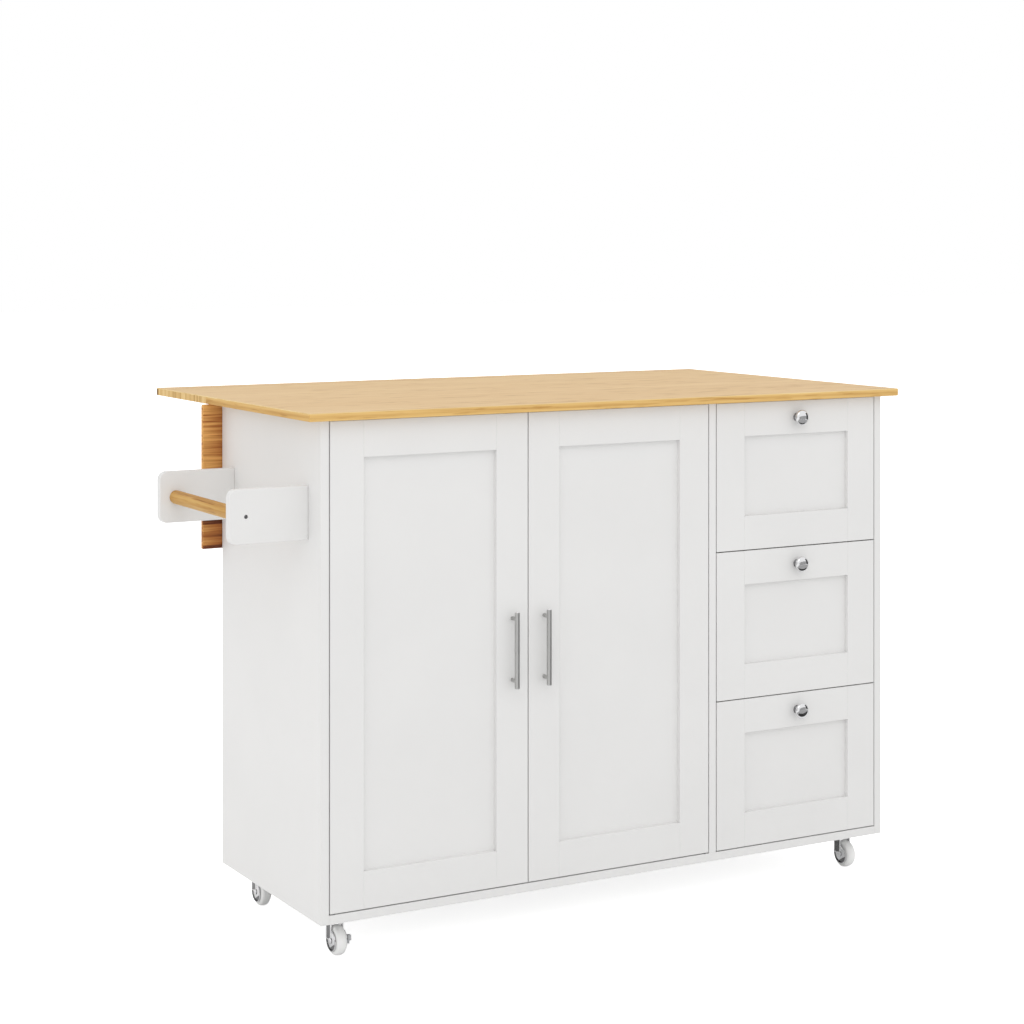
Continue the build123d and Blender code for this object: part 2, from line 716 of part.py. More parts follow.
def leaf_hinge_half(plate_x, plate_y, plate_z, spans, web_y, web_z, pin_hole):
    """One half of a leaf hinge: its plate, and the webs and barrels that reach the pin."""
    with BuildPart() as piece:
        with BuildSketch(Plane.YZ.offset(plate_x[0])):
            with Locations(((plate_y[0] + plate_y[1]) / 2, (plate_z[0] + plate_z[1]) / 2)):
                Rectangle(plate_y[1] - plate_y[0], plate_z[1] - plate_z[0])
        extrude(amount=plate_x[1] - plate_x[0])
        for span in spans:
            with BuildSketch(Plane.YZ.offset(span[0])):
                with Locations(((web_y[0] + web_y[1]) / 2, (web_z[0] + web_z[1]) / 2)):
                    Rectangle(web_y[1] - web_y[0], web_z[1] - web_z[0])
                with Locations((leaf_pin_y, leaf_pin_z)):
                    Circle(leaf_barrel_radius)
                    Circle(pin_hole, mode=Mode.SUBTRACT)
            extrude(amount=span[1] - span[0])
    return piece.part


# Leaf hinges: fixed plates on the back panel, moving plates under the leaf
leaf_middle_x = (left_x + right_x) / 2
leaf_hinge_xs = (left_x + leaf_hinge_inset, leaf_middle_x, right_x - leaf_hinge_inset)
web_high_z = leaf_pin_z + leaf_web / 2
fixed_leaf_plates = []
moving_leaf_plates = []
leaf_pins = []
for hinge_x in leaf_hinge_xs:
    plate_x = (hinge_x - leaf_plate_length / 2, hinge_x + leaf_plate_length / 2)
    outer_spans, middle_span = barrel_spans(plate_x[0], leaf_plate_length, leaf_knuckle_share)
    fixed_leaf_plates.append(leaf_hinge_half(
        plate_x, (back_outer_y, back_outer_y + leaf_plate_thickness),
        (web_high_z - leaf_plate_drop, web_high_z), outer_spans,
        (back_outer_y, leaf_pin_y), (web_high_z - leaf_web, web_high_z), leaf_pin_radius))
    moving_leaf_plates.append(leaf_hinge_half(
        plate_x, (leaf_front_y, leaf_front_y + leaf_plate_reach),
        (under_top_z - leaf_plate_thickness, under_top_z), (middle_span,),
        (leaf_front_y, leaf_front_y + leaf_web), (leaf_pin_z, under_top_z),
        leaf_pin_radius + running_clearance))
    pin_start = Plane(origin=(plate_x[0], leaf_pin_y, leaf_pin_z), z_dir=(1, 0, 0))
    leaf_pins.append(rod(pin_start, leaf_pin_radius, leaf_plate_length))
save("leaf_hinge_plates_fixed", *fixed_leaf_plates)
save("leaf_hinge_plates_moving", *moving_leaf_plates)
save("leaf_hinge_pins", *leaf_pins)

# Caster heights, from the mounting plate down to the fork bridge
race_under_z = plate_under_z - caster_race_height
bridge_high_z = race_under_z - caster_swivel_gap
bridge_low_z = bridge_high_z - fork_gauge
kingpin_head_z = bridge_low_z - caster_swivel_gap
leg_inner = wheel_width / 2 + wheel_leg_gap
leg_outer = leg_inner + fork_gauge
brake_inner = leg_outer + brake_gap
brake_head = brake_inner + brake_gauge + brake_gap


def caster_plate(x, y):
    """Mounting plate with its race, kingpin and four screw holes."""
    steps = ((plate_under_z, race_under_z, caster_race_radius),
             (race_under_z, kingpin_head_z, kingpin_radius),
             (kingpin_head_z, kingpin_head_z - kingpin_head_height, kingpin_head_radius))
    with BuildPart() as piece:
        with BuildSketch(Plane.XY.offset(base_z)):
            with Locations((x, y)):
                Rectangle(caster_plate_length, caster_plate_width)
                with GridLocations(2 * caster_screw_dx, 2 * caster_screw_dy, 2, 2):
                    Circle(caster_screw_radius, mode=Mode.SUBTRACT)
        extrude(amount=-caster_plate_thickness)
        for from_z, to_z, radius in steps:
            with BuildSketch(Plane.XY.offset(from_z)):
                with Locations((x, y)):
                    Circle(radius)
            extrude(amount=to_z - from_z)
    return piece.part


def caster_screw(x, y):
    """A screw up through the caster plate into the bottom panel."""
    with BuildPart() as piece:
        with BuildSketch(Plane.XY.offset(plate_under_z)):
            with Locations((x, y)):
                Circle(caster_screw_radius)
        extrude(amount=caster_screw_length)
        with BuildSketch(Plane.XY.offset(plate_under_z)):
            with Locations((x, y)):
                Circle(caster_screw_head_radius)
        extrude(amount=-caster_screw_head_height)
    return piece.part


def caster_fork(x, y, axle_y):
    """A pressed fork: a bridge bored for the kingpin and two legs ending in round covers."""
    leg_y = axle_y + fork_leg_shift
    leg_front_y = leg_y - fork_leg_width / 2
    bridge_rear_y = y + fork_bridge_half
    with BuildPart() as piece:
        with BuildSketch(Plane.XY.offset(bridge_low_z)):
            with Locations((x, (leg_front_y + bridge_rear_y) / 2)):
                Rectangle(2 * leg_outer, bridge_rear_y - leg_front_y)
            with Locations((x, y)):
                Circle(kingpin_radius + running_clearance, mode=Mode.SUBTRACT)
        extrude(amount=fork_gauge)
        for leg_x in (x - leg_outer, x + leg_inner):
            with BuildSketch(Plane.YZ.offset(leg_x)):
                with Locations((leg_y, (wheel_radius + bridge_high_z) / 2)):
                    Rectangle(fork_leg_width, bridge_high_z - wheel_radius)
                with Locations((axle_y, wheel_radius)):
                    Circle(fork_eye_radius)
                    Circle(axle_radius, mode=Mode.SUBTRACT)
            extrude(amount=fork_gauge)
    return piece.part


def caster_axle(x, axle_y, right_head):
    """An axle rivet across the fork, with a head at each end."""
    with BuildPart() as piece:
        with BuildSketch(Plane.YZ.offset(x - leg_outer)):
            with Locations((axle_y, wheel_radius)):
                Circle(axle_radius)
        extrude(amount=leg_outer + right_head)
        for head_x in (x - leg_outer - axle_head_height, x + right_head):
            with BuildSketch(Plane.YZ.offset(head_x)):
                with Locations((axle_y, wheel_radius)):
                    Circle(axle_head_radius)
            extrude(amount=axle_head_height)
    return piece.part


def caster_wheel(x, axle_y):
    """A solid wheel with rounded rims and a hub that stands a little proud of its faces."""
    hub_width = wheel_width + 2 * wheel_hub_proud
    with BuildPart() as piece:
        with BuildSketch(Plane.YZ.offset(x - wheel_width / 2)):
            with Locations((axle_y, wheel_radius)):
                Circle(wheel_radius)
        extrude(amount=wheel_width)
        fillet(piece.edges().filter_by(GeomType.CIRCLE), radius=wheel_rim_radius)
        with BuildSketch(Plane.YZ.offset(x - hub_width / 2)):
            with Locations((axle_y, wheel_radius)):
                Circle(wheel_hub_radius)
        extrude(amount=hub_width)
        with BuildSketch(Plane.YZ.offset(x - hub_width / 2)):
            with Locations((axle_y, wheel_radius)):
                Circle(axle_radius + running_clearance)
        extrude(amount=hub_width, mode=Mode.SUBTRACT)
    return piece.part


def caster_brake(x, axle_y):
    """A side brake: a lever from the axle to the front, outside the fork, with a foot ledge at its end."""
    lever_x = x + brake_inner
    lever_low_z = wheel_radius - brake_lever_width / 2
    end_y = axle_y - brake_lever_reach
    ledge_y = end_y + brake_ledge_length / 2
    ledge_high_z = wheel_radius + brake_ledge_rise
    with BuildPart() as piece:
        with BuildSketch(Plane.YZ.offset(lever_x)):
            with Locations(((axle_y + end_y) / 2, wheel_radius)):
                Rectangle(brake_lever_reach, brake_lever_width)
            with Locations((ledge_y, (lever_low_z + ledge_high_z) / 2)):
                Rectangle(brake_ledge_length, ledge_high_z - lever_low_z)
            with Locations((axle_y, wheel_radius)):
                Circle(brake_eye_radius)
                Circle(axle_radius + running_clearance, mode=Mode.SUBTRACT)
        extrude(amount=brake_gauge)
        with BuildSketch(Plane.YZ.offset(lever_x + brake_gauge)):
            with Locations((ledge_y, ledge_high_z - brake_ledge_height / 2)):
                Rectangle(brake_ledge_length, brake_ledge_height)
        extrude(amount=brake_ledge_depth)
    return piece.part


# Casters: plates and screws stay with the cabinet, forks swivel, wheels and brakes turn on the axles
save("caster_plates", *[caster_plate(x, y) for x, y, braked in casters.values()])
save("caster_screws", *[caster_screw(*point) for point in caster_screw_points])
for corner, (x, y, braked) in casters.items():
    axle_y = y - caster_trail
    right_head = brake_head if braked else leg_outer
    save(f"caster_{corner}_fork", caster_fork(x, y, axle_y), caster_axle(x, axle_y, right_head))
    save(f"caster_{corner}_wheel", caster_wheel(x, axle_y))
    if braked:
        save(f"caster_{corner}_brake", caster_brake(x, axle_y))
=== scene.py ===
# %% [markdown]
# # A rolling kitchen island with a folding leaf
# The island's solids are already built to size: a white cabinet on casters, a wooden worktop,
# a leaf that folds down behind it and a towel rack at its left end. This lesson dresses those
# solids. Boards get eased edges, turned parts get their profiles, and every surface gets a finish.
# The solids stay where they are, so each new piece is placed by reading the box of the solid
# that it stands for.

# %% Load the island
import json
from math import pi, radians

import bmesh
import bpy
from mathutils import Matrix, Vector


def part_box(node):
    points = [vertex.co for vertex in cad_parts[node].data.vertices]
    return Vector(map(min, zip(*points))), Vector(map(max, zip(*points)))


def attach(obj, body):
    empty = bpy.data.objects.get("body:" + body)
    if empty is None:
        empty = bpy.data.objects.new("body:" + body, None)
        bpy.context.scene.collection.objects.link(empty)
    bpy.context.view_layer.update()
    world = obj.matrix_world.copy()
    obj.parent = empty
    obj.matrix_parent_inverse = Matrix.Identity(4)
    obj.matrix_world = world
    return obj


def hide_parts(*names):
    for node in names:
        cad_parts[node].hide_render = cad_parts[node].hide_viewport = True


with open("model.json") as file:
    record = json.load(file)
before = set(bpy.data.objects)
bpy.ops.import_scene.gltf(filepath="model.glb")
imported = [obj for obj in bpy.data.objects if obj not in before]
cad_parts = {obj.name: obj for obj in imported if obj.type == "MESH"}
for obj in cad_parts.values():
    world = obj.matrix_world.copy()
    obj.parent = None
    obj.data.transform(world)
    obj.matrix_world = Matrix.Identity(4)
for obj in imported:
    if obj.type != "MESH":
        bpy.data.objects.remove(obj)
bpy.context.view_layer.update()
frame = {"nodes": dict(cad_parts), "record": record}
record = frame["record"]

# %% [markdown]
# ## The camera
# The photograph is a catalogue picture: upright edges stay upright, so the camera is level and
# its picture is shifted down instead of tilted. A tilted camera would be quicker to aim, but it
# would make the cabinet's sides lean. The place, the turn and the lens come from a fit to the
# cabinet's straight edges, measured from its front left corner on the floor.

# %% Camera
picture_size = 1024
focal_pixels = 2229.33
horizon_above_middle = 277.56
view_turn = radians(29.44)
eye_from_corner = Vector((-1.53585, -3.36434, 1.21392))
panel_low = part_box("side_panel_left")[0]
eye = Vector((panel_low[0], panel_low[1], 0)) + eye_from_corner

bpy.ops.object.select_all(action="DESELECT")
bpy.ops.object.camera_add(location=eye, rotation=(pi / 2, 0, -view_turn))
camera = bpy.context.object
camera.name = "picture_camera"
camera.data.sensor_width = 36
camera.data.lens = camera.data.sensor_width * focal_pixels / picture_size
camera.data.shift_y = -horizon_above_middle / picture_size
bpy.context.scene.camera = camera
bpy.context.scene.view_settings.view_transform = "Standard"
print("lens", round(camera.data.lens, 2), "eye", eye)

# %% [markdown]
# ## Light, floor and background
# A white object on a white ground needs soft light from all round, or its faces turn grey or
# clip. The sky gives most of the light, and two soft lamps give the faces a little shape.
# The picture's white comes from what the camera and shiny metal see of the sky and the floor,
# not from more light, so the floor can still take a soft shadow under the cabinet.

# %% What a ray sees


def combine(node_tree, operation, first, second):
    """One value from two, each a socket or a number."""
    node = node_tree.nodes.new("ShaderNodeMath")
    node.operation = operation
    for socket, value in zip(node.inputs, (first, second)):
        if isinstance(value, (int, float)):
            socket.default_value = value
        else:
            node_tree.links.new(value, socket)
    return node.outputs[0]


def seen_directly(node_tree, by_eye=1, by_mirror=1):
    """A value for rays from the camera, another for rays from shiny metal or through glass, else 0."""
    path = node_tree.nodes.new("ShaderNodeLightPath").outputs
    shiny = combine(node_tree, "MAXIMUM", path["Is Glossy Ray"], path["Is Transmission Ray"])
    mirrored = combine(node_tree, "MULTIPLY", shiny, by_mirror)
    direct = combine(node_tree, "MULTIPLY", path["Is Camera Ray"], by_eye)
    return combine(node_tree, "MAXIMUM", direct, mirrored)


print("ray tools ready")

# %% Sky
sky_light = 1.03
sky_to_the_eye = 1
white = (1, 1, 1, 1)
world = bpy.data.worlds.new("studio_sky")
bpy.context.scene.world = world
world.use_nodes = True
tree = world.node_tree
tree.nodes.clear()
sky_out = tree.nodes.new("ShaderNodeOutputWorld")
sky_mix = tree.nodes.new("ShaderNodeMixShader")
tree.links.new(seen_directly(tree), sky_mix.inputs[0])
for number, strength in ((1, sky_light), (2, sky_to_the_eye)):
    sky = tree.nodes.new("ShaderNodeBackground")
    sky.inputs["Color"].default_value = white
    sky.inputs["Strength"].default_value = strength
    tree.links.new(sky.outputs[0], sky_mix.inputs[number])
tree.links.new(sky_mix.outputs[0], sky_out.inputs[0])
print("sky light", sky_light)

# %% Floor
floor_size = 60
floor_white = (0.86, 0.86, 0.86, 1)
floor_glow = 0.70
floor_glow_in_mirrors = 0.12
bpy.ops.object.select_all(action="DESELECT")
bpy.ops.mesh.primitive_plane_add(size=floor_size, location=(0, 0, 0))
floor = bpy.context.object
floor.name = "studio_floor"
floor_finish = bpy.data.materials.new("studio_floor_white")
floor_finish.use_nodes = True
tree = floor_finish.node_tree
tree.nodes.clear()
floor_out = tree.nodes.new("ShaderNodeOutputMaterial")
floor_sum = tree.nodes.new("ShaderNodeAddShader")
floor_paint = tree.nodes.new("ShaderNodeBsdfDiffuse")
floor_paint.inputs["Color"].default_value = floor_white
floor_shine = tree.nodes.new("ShaderNodeEmission")
tree.links.new(seen_directly(tree, floor_glow, floor_glow_in_mirrors), floor_shine.inputs["Strength"])
tree.links.new(floor_paint.outputs[0], floor_sum.inputs[0])
tree.links.new(floor_shine.outputs[0], floor_sum.inputs[1])
tree.links.new(floor_sum.outputs[0], floor_out.inputs[0])
floor.data.materials.append(floor_finish)
print("floor", floor_size, "m")

# %% Lamps
lamp_aim = (0, -0.1, 0.5)


def lamp(name, place, width, power):
    """A square soft lamp at a place, turned to the island's middle."""
    bpy.ops.object.select_all(action="DESELECT")
    turn = (Vector(lamp_aim) - Vector(place)).to_track_quat("-Z", "Y").to_euler()
    bpy.ops.object.light_add(type="AREA", location=place, rotation=turn)
    light = bpy.context.object
    light.name = name
    light.data.size = width
    light.data.energy = power
    return light


key_lamp = lamp("key_lamp", place=(-1.2, -2.6, 3.4), width=2.0, power=11)
side_lamp = lamp("side_lamp", place=(-3.6, 0.2, 0.45), width=1.2, power=4)
print("lamps", key_lamp.data.energy, side_lamp.data.energy)

# %% [markdown]
# ## Cards round the chrome
# Chrome shows only what stands around it, and a white studio makes it look like white plastic. So
# grey and black cards stand round it, as a photographer would place them: on the floor in front,
# before it, at both sides and behind. Only mirrored rays meet them, so they take no light away.

# %% Cards for the chrome
card_rough = 0.9


def card_paint(name, level):
    """A dull even paint for a card."""
    paint = bpy.data.materials.new(name)
    paint.use_nodes = True
    sockets = paint.node_tree.nodes["Principled BSDF"].inputs
    sockets["Base Color"].default_value = (level, level, level, 1)
    sockets["Roughness"].default_value = card_rough
    return paint


def card(name, paint, place, turn, wide, high):
    """A card that only mirrored rays meet."""
    bpy.ops.object.select_all(action="DESELECT")
    bpy.ops.mesh.primitive_plane_add(size=1, location=place, rotation=turn)
    sheet = bpy.context.object
    sheet.name = name
    sheet.scale = (wide, high, 1)
    sheet.data.materials.append(paint)
    sheet.visible_camera = False
    sheet.visible_diffuse = False
    sheet.visible_transmission = False
    sheet.visible_shadow = False


black_card = card_paint("black_card", 0.02)
grey_card = card_paint("grey_card", 0.38)
lying = (0, 0, 0)
upright = (pi / 2, 0, 0)
sideways = (pi / 2, 0, pi / 2)
card("card_floor", grey_card, place=(1.6, -2.0, 0.004), turn=lying, wide=3.8, high=2.9)
card("card_near_floor", black_card, place=(0.95, -0.85, 0.006), turn=lying, wide=1.4, high=0.5)
card("card_front", grey_card, place=(2.7, -3.6, 0.55), turn=upright, wide=5.0, high=1.1)
card("card_left", black_card, place=(-3.4, -0.8, 1.3), turn=sideways, wide=1.6, high=2.4)
card("card_right", black_card, place=(3.6, -1.6, 1.1), turn=sideways, wide=1.8, high=2.0)
card("card_back", black_card, place=(1.2, 4.6, 1.5), turn=upright, wide=9.0, high=2.6)
print("cards placed")

# %% [markdown]
# ## Tools for the bench
# The pieces are made as by hand: a cube or a disc is added at its place, shaped in edit mode and
# joined. Three small tools cover most of it. A board is a cube with its edges eased by a bevel.
# A turned part is a disc that is extruded ring by ring along its axis, as on a lathe. A cut takes
# one piece out of another. Writing vertices directly would be shorter, but it hides how the
# shape is made.

# %% Bench and selection
tolerance = 0.0001
x_axis, y_axis, z_axis = 0, 1, 2


def clear_bench():
    """Leave edit mode and select nothing."""
    if bpy.context.object and bpy.context.object.mode != "OBJECT":
        bpy.ops.object.mode_set(mode="OBJECT")
    bpy.ops.object.select_all(action="DESELECT")


def work_on(piece):
    """Make one piece the only selected and active one."""
    clear_bench()
    piece.select_set(True)
    bpy.context.view_layer.objects.active = piece


def pick(piece, kind, wanted):
    """In edit mode, select the edges or faces of a piece that a test wants."""
    work_on(piece)
    bpy.ops.object.mode_set(mode="EDIT")
    bpy.ops.mesh.select_mode(type=kind)
    bpy.ops.mesh.select_all(action="DESELECT")
    shape = bmesh.from_edit_mesh(piece.data)
    parts = shape.edges if kind == "EDGE" else shape.faces
    for part in parts:
        part.select_set(bool(wanted(part)))
    bmesh.update_edit_mesh(piece.data)


def every(part):
    """A test that wants all edges or faces."""
    return True


def runs_along(edge, axis):
    """Whether an edge has any length along an axis."""
    return abs(edge.verts[0].co[axis] - edge.verts[1].co[axis]) > tolerance


def lies_at(edge, axis, place):
    """Whether both ends of an edge lie at a place on an axis."""
    return all(abs(vert.co[axis] - place) < tolerance for vert in edge.verts)


def ease_edges(piece, wanted, ease, steps):
    """Bevel the edges of a piece that a test wants."""
    pick(piece, "EDGE", wanted)
    bpy.ops.mesh.bevel(offset=ease, offset_type="OFFSET", segments=steps, affect="EDGES")
    bpy.ops.object.mode_set(mode="OBJECT")


def refinish(piece, number, wanted):
    """Change the faces of a piece that a test wants to another of its finishes."""
    for face in piece.data.polygons:
        if wanted(face):
            face.material_index = number


print("bench ready")

# %% Board
board_ease = 0.0005


def block(name, low, high):
    """A plain cube between two corners, with its place in its mesh."""
    clear_bench()
    low, high = Vector(low), Vector(high)
    bpy.ops.mesh.primitive_cube_add(size=1, location=(low + high) / 2)
    piece = bpy.context.object
    piece.name = name
    piece.scale = high - low
    bpy.ops.object.transform_apply(location=True, rotation=True, scale=True)
    return piece


def board(name, low, high, ease=board_ease, steps=2):
    """A board: a cube between two corners with every edge eased."""
    piece = block(name, low, high)
    ease_edges(piece, every, ease, steps)
    return piece


print("boards are eased by", board_ease)

# %% Lathe


def turned(name, start, out, rings, sides=48, smooth=40):
    """A lathe part: rings of (distance along out, radius), extruded one from the other."""
    clear_bench()
    start, out = Vector(start), Vector(out).normalized()
    turn = out.to_track_quat("Z", "Y").to_euler()
    bpy.ops.mesh.primitive_circle_add(vertices=sides, radius=rings[0][1], fill_type="NGON",
                                      location=start + out * rings[0][0], rotation=turn)
    piece = bpy.context.object
    piece.name = name
    bpy.ops.object.transform_apply(location=True, rotation=True, scale=True)
    bpy.ops.object.mode_set(mode="EDIT")
    bpy.ops.mesh.select_mode(type="FACE")
    bpy.ops.mesh.select_all(action="SELECT")
    for (from_far, from_wide), (far, wide) in zip(rings, rings[1:]):
        bpy.ops.mesh.extrude_region_move(TRANSFORM_OT_translate={"value": out * (far - from_far)})
        grow = wide / from_wide
        bpy.ops.transform.resize(value=(grow, grow, grow), center_override=start + out * far)
    bpy.ops.mesh.select_all(action="SELECT")
    bpy.ops.mesh.normals_make_consistent(inside=False)
    bpy.ops.object.mode_set(mode="OBJECT")
    bpy.ops.object.shade_smooth_by_angle(angle=radians(smooth))
    return piece


print("lathe ready")

# %% Joining, sawing and dressing


def together(name, pieces):
    """Join pieces into one object."""
    clear_bench()
    for piece in pieces:
        piece.select_set(True)
    bpy.context.view_layer.objects.active = pieces[0]
    bpy.ops.object.join()
    whole = bpy.context.object
    whole.name = name
    whole.data.name = name
    return whole


def cut(piece, cutter):
    """Take a cutter out of a piece and throw the cutter away."""
    work_on(piece)
    saw = piece.modifiers.new("saw", "BOOLEAN")
    saw.operation = "DIFFERENCE"
    saw.solver = "EXACT"
    saw.object = cutter
    bpy.ops.object.modifier_apply(modifier=saw.name)
    bpy.data.objects.remove(cutter, do_unlink=True)
    return piece


def dress(piece, body, slot, finish, *nodes):
    """Give a piece its finish, unless it has one; let it ride and stand for solids. The slot is not used.
    """
    if finish:
        piece.data.materials.clear()
        piece.data.materials.append(finish)
    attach(piece, body)
    if nodes:
        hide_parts(*nodes)


print("saw ready")

# %% [markdown]
# ## Finishes
# Each finish is a small tree of nodes on the piece's own coordinates, in metres, so grain and
# speckle keep their real size on every piece. An image would be easier to match, but it stretches
# on edges and ends; noise drawn out along the grain goes right through the board like real wood.

# %% A start for every finish
noise_low, noise_high = 0.3, 0.7
lacquer_gloss = 0.3


def finish_start(name):
    """A new material with a principled shader and the piece's own coordinates."""
    material = bpy.data.materials.new(name)
    material.use_nodes = True
    nodes = material.node_tree.nodes
    nodes.clear()
    out = nodes.new("ShaderNodeOutputMaterial")
    shader = nodes.new("ShaderNodeBsdfPrincipled")
    place = nodes.new("ShaderNodeTexCoord")
    material.node_tree.links.new(shader.outputs[0], out.inputs[0])
    return material, material.node_tree, shader, place.outputs["Object"]


def drawn_noise(tree, place, stretch, detail, rough, bend=0.0):
    """Noise stretched along an axis: a small scale on an axis draws it out that way."""
    mapping = tree.nodes.new("ShaderNodeMapping")
    mapping.inputs["Scale"].default_value = stretch
    noise = tree.nodes.new("ShaderNodeTexNoise")
    noise.inputs["Scale"].default_value = 1
    noise.inputs["Detail"].default_value = detail
    noise.inputs["Roughness"].default_value = rough
    noise.inputs["Distortion"].default_value = bend
    tree.links.new(place, mapping.inputs["Vector"])
    tree.links.new(mapping.outputs[0], noise.inputs["Vector"])
    return noise.outputs["Fac"]


def between(tree, value, low, high, new_low, new_high):
    """Stretch a range of values to another range."""
    ranger = tree.nodes.new("ShaderNodeMapRange")
    for key, number in (("From Min", low), ("From Max", high), ("To Min", new_low), ("To Max", new_high)):
        ranger.inputs[key].default_value = number
    tree.links.new(value, ranger.inputs["Value"])
    return ranger.outputs[0]


def shades(tree, value, stops):
    """Colours along a value: stops of (position, colour)."""
    ramp = tree.nodes.new("ShaderNodeValToRGB")
    points = ramp.color_ramp.elements
    while len(points) < len(stops):
        points.new(0.5)
    for point, (position, colour) in zip(points, stops):
        point.position = position
        point.color = (*colour, 1)
    tree.links.new(value, ramp.inputs["Fac"])
    return ramp.outputs["Color"]


def roughened(tree, shader, noise, at_low, at_high, height):
    """Let a noise vary the roughness and raise the surface a little."""
    rough = between(tree, noise, noise_low, noise_high, at_low, at_high)
    tree.links.new(rough, shader.inputs["Roughness"])
    bump = tree.nodes.new("ShaderNodeBump")
    bump.inputs["Strength"].default_value = 1
    bump.inputs["Distance"].default_value = height
    tree.links.new(noise, bump.inputs["Height"])
    tree.links.new(bump.outputs[0], shader.inputs["Normal"])


print("finish tools ready")

# %% [markdown]
# ### White lacquer, nylon and plastic
# The cabinet is sprayed board: nearly even white with a faint cloudiness and the fine ripple that
# spray leaves. The ripple is only bump, because a painted ripple would show as dirt. Moulded nylon
# and plastic look much the same, with other colours and a little more cloud.

# %% Sprayed and moulded finishes
cloud_scale = (7, 7, 7)
ripple_scale = (420, 420, 420)
spray_spread = 0.04


def sprayed(name, colour, cloud, rough, ripple):
    """A sprayed or moulded surface: faint clouds of tone and a fine ripple."""
    material, tree, shader, place = finish_start(name)
    shader.inputs["Specular IOR Level"].default_value = lacquer_gloss
    clouds = drawn_noise(tree, place, cloud_scale, 3, 0.5)
    darker = tuple(part * (1 - cloud) for part in colour)
    tone = shades(tree, clouds, ((noise_low, darker), (noise_high, colour)))
    tree.links.new(tone, shader.inputs["Base Color"])
    fine = drawn_noise(tree, place, ripple_scale, 2, 0.5)
    roughened(tree, shader, fine, rough - spray_spread, rough + spray_spread, ripple)
    return material


white_lacquer = sprayed("white_lacquer", (0.80, 0.796, 0.788), cloud=0.02, rough=0.42, ripple=0.00002)
plain_board = sprayed("plain_board", (0.78, 0.77, 0.74), cloud=0.05, rough=0.5, ripple=0.00003)
white_nylon = sprayed("white_nylon", (0.92, 0.92, 0.91), cloud=0.03, rough=0.45, ripple=0.00003)
grey_plastic = sprayed("grey_plastic", (0.50, 0.51, 0.52), cloud=0.10, rough=0.45, ripple=0.00004)
black_plastic = sprayed("black_plastic", (0.03, 0.03, 0.03), cloud=0.10, rough=0.5, ripple=0.00004)
print("sprayed finishes ready")

# %% [markdown]
# ### Wood
# Worktop and leaf are light hardwood under a clear satin lacquer. Broad noise drawn out along the
# grain gives the figure, thin noise the pores, and a cut-off noise the short dark flecks. On the
# edges the same wood looks warmer, and on the ends of the leaf it shows as short upright stripes
# that darken at the rear tip: painted shade on the rounded corner that turns away from the light.
# The supports behind are browner, with dark growth lines. They darken towards their foot, and
# painted shade darkens them towards their inner edge, by the cabinet.

# %% Wood along an axis
figure_slow = 0.55
pore_slow, pore_fast = 5, 230
fleck_starts, fleck_full = 0.57, 0.66
wood_rough = 0.55
wood_spread = 0.06
pore_height = 0.00004


def along_grain(grain, slow, fast):
    """A stretch that is slow along the grain and fast across it."""
    stretch = [fast, fast, fast]
    stretch["XYZ".index(grain)] = slow
    return stretch


def wood(name, grain, stops, figure, pores, flecks=None, fades=()):
    """Wood with its grain along X, Y or Z: stops go from the dark streaks to the pale ground.

    The figure is (share, fineness), pores a share, and flecks (how dark, slow, fast).
    A fade is (axis, where it is pale, where it is dark, how dark).
    """
    material, tree, shader, place = finish_start(name)
    shader.inputs["Specular IOR Level"].default_value = lacquer_gloss
    share, fineness = figure
    ground = drawn_noise(tree, place, along_grain(grain, figure_slow, fineness), 5, 0.6, 0.6)
    lines = drawn_noise(tree, place, along_grain(grain, pore_slow, pore_fast), 3, 0.6)
    tone = combine(tree, "ADD", combine(tree, "MULTIPLY", ground, share),
                   combine(tree, "MULTIPLY", lines, pores))
    if flecks:
        fleck_dark, fleck_slow, fleck_fast = flecks
        dashes = drawn_noise(tree, place, along_grain(grain, fleck_slow, fleck_fast), 2, 0.5)
        shade = between(tree, dashes, fleck_starts, fleck_full, 0, fleck_dark)
        tone = combine(tree, "SUBTRACT", tone, shade)
    for axis, pale_at, dark_at, depth in fades:
        axes = tree.nodes.new("ShaderNodeSeparateXYZ")
        tree.links.new(place, axes.inputs[0])
        shade = between(tree, axes.outputs[axis], pale_at, dark_at, 0, depth)
        tone = combine(tree, "SUBTRACT", tone, shade)
    tree.links.new(shades(tree, tone, stops), shader.inputs["Base Color"])
    roughened(tree, shader, lines, wood_rough + wood_spread, wood_rough - wood_spread, pore_height)
    return material


print("wood grain", figure_slow, "pores", pore_slow, pore_fast)

# %% Worktop, leaf and dowel wood
top_stops = ((0.12, (0.50, 0.31, 0.14)), (0.30, (0.72, 0.50, 0.265)), (0.45, (0.79, 0.575, 0.325)))
front_stops = ((0.30, (0.50, 0.26, 0.065)), (0.46, (0.74, 0.47, 0.16)), (0.62, (0.86, 0.60, 0.24)))
side_stops = ((0.30, (0.46, 0.23, 0.055)), (0.46, (0.68, 0.415, 0.135)), (0.62, (0.80, 0.54, 0.205)))
arris_highlight_stops = ((0.30, (0.62, 0.40, 0.15)), (0.50, (0.80, 0.60, 0.29)), (0.65, (0.88, 0.72, 0.40)))
end_stops = ((0.08, (0.11, 0.08, 0.045)), (0.34, (0.42, 0.235, 0.07)), (0.48, (0.70, 0.46, 0.175)),
             (0.62, (0.82, 0.59, 0.27)))
dowel_stops = ((0.30, (0.27, 0.11, 0.02)), (0.48, (0.52, 0.275, 0.068)), (0.66, (0.66, 0.42, 0.135)))
edge_look = {"figure": (0.65, 60), "pores": 0.35, "flecks": (0.08, 18, 260)}
tip_pale = 0.014
tip_dark = 0.003
tip_depth = 0.42

